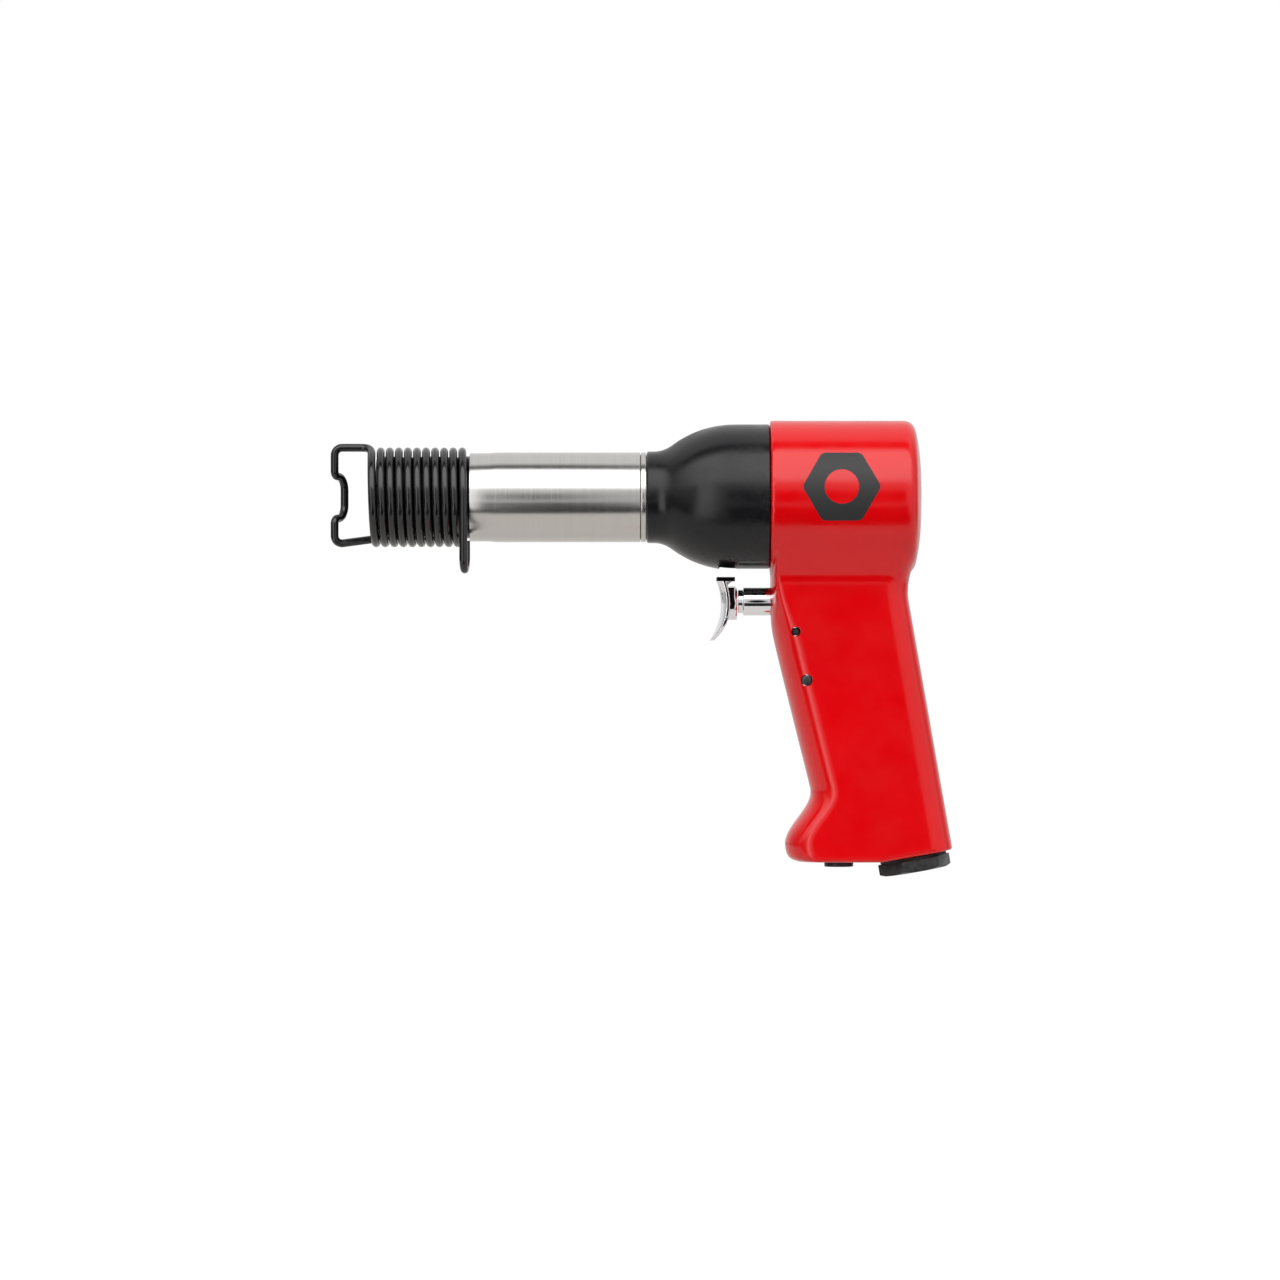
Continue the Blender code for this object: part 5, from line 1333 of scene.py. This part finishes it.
def lead_in():
    """The bend from the loop's top limb into the first turn."""
    start = Vector((FRONT - LOOP_SPLIT + WIRE_PART, 0.0, LIMB_HEIGHT))
    end = coil_point(LEAD_TURN)
    tangent = (coil_point(LEAD_TURN + 0.01) - end).normalized()
    leave = start + Vector((LEAD_PULL, 0.0, 0.0))
    arrive = end - tangent * LEAD_PULL
    bend = []
    for i in range(LEAD_STEPS):
        t = i / LEAD_STEPS
        a, b, c = start.lerp(leave, t), leave.lerp(arrive, t), arrive.lerp(end, t)
        bend.append(a.lerp(b, t).lerp(b.lerp(c, t), t))
    return bend


def tail():
    """The hairpin finger tail that hangs off the last turn."""
    last = coil_point(2.0 * math.pi * COIL_TURNS)
    middle_y = last.y + TAIL_BEND_R
    points = [Vector((last.x, last.y, -TAIL_DROP))]
    for i in range(1, TAIL_STEPS):
        angle = math.pi * (1.0 + i / TAIL_STEPS)
        x = last.x + TAIL_SHIFT * i / TAIL_STEPS
        y = middle_y + TAIL_BEND_R * math.cos(angle)
        points.append(Vector((x, y, -TAIL_DROP + TAIL_BEND_R * math.sin(angle))))
    end_y = middle_y + TAIL_BEND_R
    points.append(Vector((last.x + TAIL_SHIFT, end_y, -TAIL_DROP)))
    points.append(Vector((last.x + TAIL_SHIFT, end_y, -TAIL_END_DROP)))
    return points


def loop_corners():
    front = FRONT - LOOP_FRONT
    bow_x = front + BOW_SETBACK
    end = (FRONT - LOOP_END, LOOP_END_REACH, -LOOP_BOTTOM + LOOP_END_RISE)
    return [
        ((FRONT - LOOP_SPLIT - WIRE_PART, 0.0, LIMB_HEIGHT), 0.0),
        ((front, 0.0, LIMB_HEIGHT), LOOP_CORNER_R),
        ((front, 0.0, BOW_TOP), BOW_CORNER_R),
        ((bow_x, BOW_REACH, BOW_TOP - BOW_SLOPE), BOW_ROUND_R),
        ((bow_x, BOW_REACH, -BOW_BOTTOM + BOW_SLOPE), BOW_ROUND_R),
        ((front, 0.0, -BOW_BOTTOM), BOW_CORNER_R),
        ((front, 0.0, -LOOP_BOTTOM), LOOP_CORNER_R),
        (end, 0.0),
    ]


class AIRHAMMER_OT_retainer(bpy.types.Operator):
    """Coil retainer and its front loop"""

    bl_idname = "air_hammer.retainer"
    bl_label = "Coil Retainer"

    def execute(self, context):
        radius = context.scene.air_hammer_sizes.wire_radius
        black = look("spring_black")
        last = 2.0 * math.pi * COIL_TURNS
        steps = round(COIL_TURNS * COIL_STEPS)
        turns = [coil_point(LEAD_TURN + (last - LEAD_TURN) * i / steps) for i in range(steps + 1)]
        coil = wired("retainer_spring", lead_in() + turns + tail(), radius)
        finished(coil, black, "retainer", "spring_black", "retainer_coil", angle=50.0)
        bow = wired("retainer_bow", rounded_path(loop_corners()), radius)
        finished(bow, black, "loop", "spring_black", "retainer_loop", angle=50.0)
        return {"FINISHED"}


# ---- inner works ---------------------------------------------------------------------------

INNER_WORKS = {
    "hardened_steel": ("piston", "valve_box", "valve_cap", "valve_dowel", "throttle_lever",
                       "throttle_seat", "throttle_spring"),
    "valve_brass": ("valve_shuttle", "throttle_valve", "inlet_screen"),
    "seal_rubber": ("valve_gasket", "plunger_seal", "regulator_seal"),
}


class AIRHAMMER_OT_inner_works(bpy.types.Operator):
    """Finishes of the piston, valve group, lever, throttle valve and seals"""

    bl_idname = "air_hammer.inner_works"
    bl_label = "Inner Works"

    def execute(self, context):
        for slot, names in INNER_WORKS.items():
            for name in names:
                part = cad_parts[name]
                part.data.materials.clear()
                part.data.materials.append(look(slot))
        return {"FINISHED"}


# ---- stage ---------------------------------------------------------------------------------


def studio_air():
    """White to the eye; in reflections a soft box above, grey and dark panels below it."""
    world = bpy.context.scene.world or bpy.data.worlds.new("studio")
    bpy.context.scene.world = world
    world.use_nodes = True
    tree = world.node_tree
    tree.nodes.clear()
    way = node(tree, "ShaderNodeTexCoord").outputs["Generated"]
    parts = node(tree, "ShaderNodeSeparateXYZ", {0: way}).outputs
    ahead = maths(tree, "MULTIPLY", parts[1], -1.0)
    angle = maths(tree, "ARCTAN2", parts[2], ahead)
    place = ranged(tree, angle, -math.pi, math.pi, 0.0, 1.0)
    ramp = node(tree, "ShaderNodeValToRGB", {0: place})
    top = max(value for _, value in PANELS)
    stops = ramp.color_ramp.elements
    while len(stops) > 1:
        stops.remove(stops[-1])
    for i, (degrees, value) in enumerate(PANELS):
        spot = (degrees + 180.0) / 360.0
        stop = stops[0] if i == 0 else stops.new(spot)
        stop.position = spot
        stop.color = (value / top, value / top, value / top, 1.0)
    side = maths(tree, "ABSOLUTE", parts[0])
    fade = ranged(tree, side, 0.55, 0.95, 1.0, 0.25)
    level = maths(tree, "MULTIPLY", ramp.outputs[0], fade)
    hidden = ranged(tree, ahead, 0.978, 0.992, top, 0.02)
    level = maths(tree, "MULTIPLY", level, hidden)
    strip = product(
        tree,
        ranged(tree, parts[0], -0.42, -0.28, 2.2, 0.0),
        ranged(tree, parts[0], -0.74, -0.6, 0.0, 1.0),
        ranged(tree, parts[2], -0.6, -0.45, 0.0, 1.0),
        ranged(tree, parts[2], 0.3, 0.5, 1.0, 0.0),
        ranged(tree, ahead, 0.0, 0.2, 0.0, 1.0),
    )
    level = maths(tree, "MAXIMUM", level, strip)
    right = product(
        tree,
        ranged(tree, parts[0], 0.3, 0.45, 0.0, 0.75),
        ranged(tree, ahead, -0.5, -0.2, 0.0, 1.0),
        ranged(tree, parts[2], -0.5, -0.3, 0.0, 1.0),
    )
    level = maths(tree, "MAXIMUM", level, right)
    lit = node(tree, "ShaderNodeBackground", {"Color": (1.0, 1.0, 1.0, 1.0), "Strength": level})
    white = node(tree, "ShaderNodeBackground", {"Color": (1.0, 1.0, 1.0, 1.0), "Strength": 1.0})
    seen = node(tree, "ShaderNodeLightPath").outputs["Is Camera Ray"]
    both = node(tree, "ShaderNodeMixShader", {0: seen, 1: lit.outputs[0], 2: white.outputs[0]})
    node(tree, "ShaderNodeOutputWorld", {0: both.outputs[0]})


def floor_look():
    """Pale to the eye and greyer to what reflects in the tool."""
    made, tree, shader = material("pale_floor", 0.7, specular=0.1)
    shade = grouped(tree, blotches_group(), "Value", {"Scale": 2.0, "Low": 0.0, "High": 1.0})
    tint = mixed(tree, shade, (0.93, 0.93, 0.93, 1.0), (0.95, 0.95, 0.95, 1.0))
    seen = node(tree, "ShaderNodeLightPath").outputs["Is Camera Ray"]
    tree.links.new(mixed(tree, seen, (0.6, 0.58, 0.56, 1.0), tint), shader["Base Color"])
    shader["Emission Color"].default_value = (1.0, 1.0, 1.0, 1.0)
    tree.links.new(maths(tree, "MULTIPLY", seen, 0.6), shader["Emission Strength"])
    return made


class AIRHAMMER_OT_stage(bpy.types.Operator):
    """Pale floor, soft studio light and the camera"""

    bl_idname = "air_hammer.stage"
    bl_label = "Stage"

    def execute(self, context):
        floor = bmesh.new()
        bmesh.ops.create_grid(floor, x_segments=8, y_segments=8, size=0.5)
        width = 2.0 * FLOOR_HALF_WIDTH
        bmesh.ops.scale(floor, verts=floor.verts, vec=(width, FLOOR_BACK - FLOOR_FRONT, 1.0))
        middle = (CAMERA_CENTRE.x, (FLOOR_BACK + FLOOR_FRONT) / 2.0, FLOOR_HEIGHT)
        bmesh.ops.translate(floor, verts=floor.verts, vec=middle)
        made = solid("floor", floor)
        made.data.materials.append(floor_look())
        studio_air()
        lens = bpy.data.cameras.new("camera")
        lens.lens = CAMERA_LENS
        lens.sensor_width = 36.0
        lens.clip_end = 50.0
        camera = bpy.data.objects.new("camera", lens)
        camera.location = CAMERA_CENTRE - Vector((0.0, CAMERA_DISTANCE, 0.0))
        camera.rotation_euler = (math.pi / 2.0, 0.0, 0.0)
        context.scene.collection.objects.link(camera)
        context.scene.camera = camera
        context.scene.view_settings.view_transform = "Standard"
        return {"FINISHED"}


# ---- panel and registration ----------------------------------------------------------------

STEPS = ("stage", "handle", "barrel", "bell", "trigger", "fittings", "retainer", "inner_works")


class AIRHAMMER_PT_panel(bpy.types.Panel):
    """Steps, colours and sizes of the air hammer"""

    bl_idname = "AIRHAMMER_PT_panel"
    bl_label = "Air Hammer"
    bl_space_type = "VIEW_3D"
    bl_region_type = "UI"
    bl_category = "Air Hammer"

    def draw(self, context):
        for step in STEPS:
            self.layout.operator("air_hammer." + step)
        for settings in (context.scene.air_hammer_colours, context.scene.air_hammer_sizes):
            box = self.layout.box()
            for name in settings.bl_rna.properties.keys():
                if name not in ("rna_type", "name"):
                    box.prop(settings, name)


CLASSES = (
    AirHammerColours,
    AirHammerSizes,
    AIRHAMMER_OT_stage,
    AIRHAMMER_OT_handle,
    AIRHAMMER_OT_barrel,
    AIRHAMMER_OT_bell,
    AIRHAMMER_OT_trigger,
    AIRHAMMER_OT_fittings,
    AIRHAMMER_OT_retainer,
    AIRHAMMER_OT_inner_works,
    AIRHAMMER_PT_panel,
)


def register():
    for each in CLASSES:
        bpy.utils.register_class(each)
    bpy.types.Scene.air_hammer_colours = bpy.props.PointerProperty(type=AirHammerColours)
    bpy.types.Scene.air_hammer_sizes = bpy.props.PointerProperty(type=AirHammerSizes)


def unregister():
    del bpy.types.Scene.air_hammer_sizes
    del bpy.types.Scene.air_hammer_colours
    for each in reversed(CLASSES):
        bpy.utils.unregister_class(each)


def main():
    register()
    for step in STEPS:
        result = getattr(bpy.ops.air_hammer, step)()
        if "FINISHED" not in result:
            raise RuntimeError(step + " did not finish")


if __name__ == "__main__":
    main()
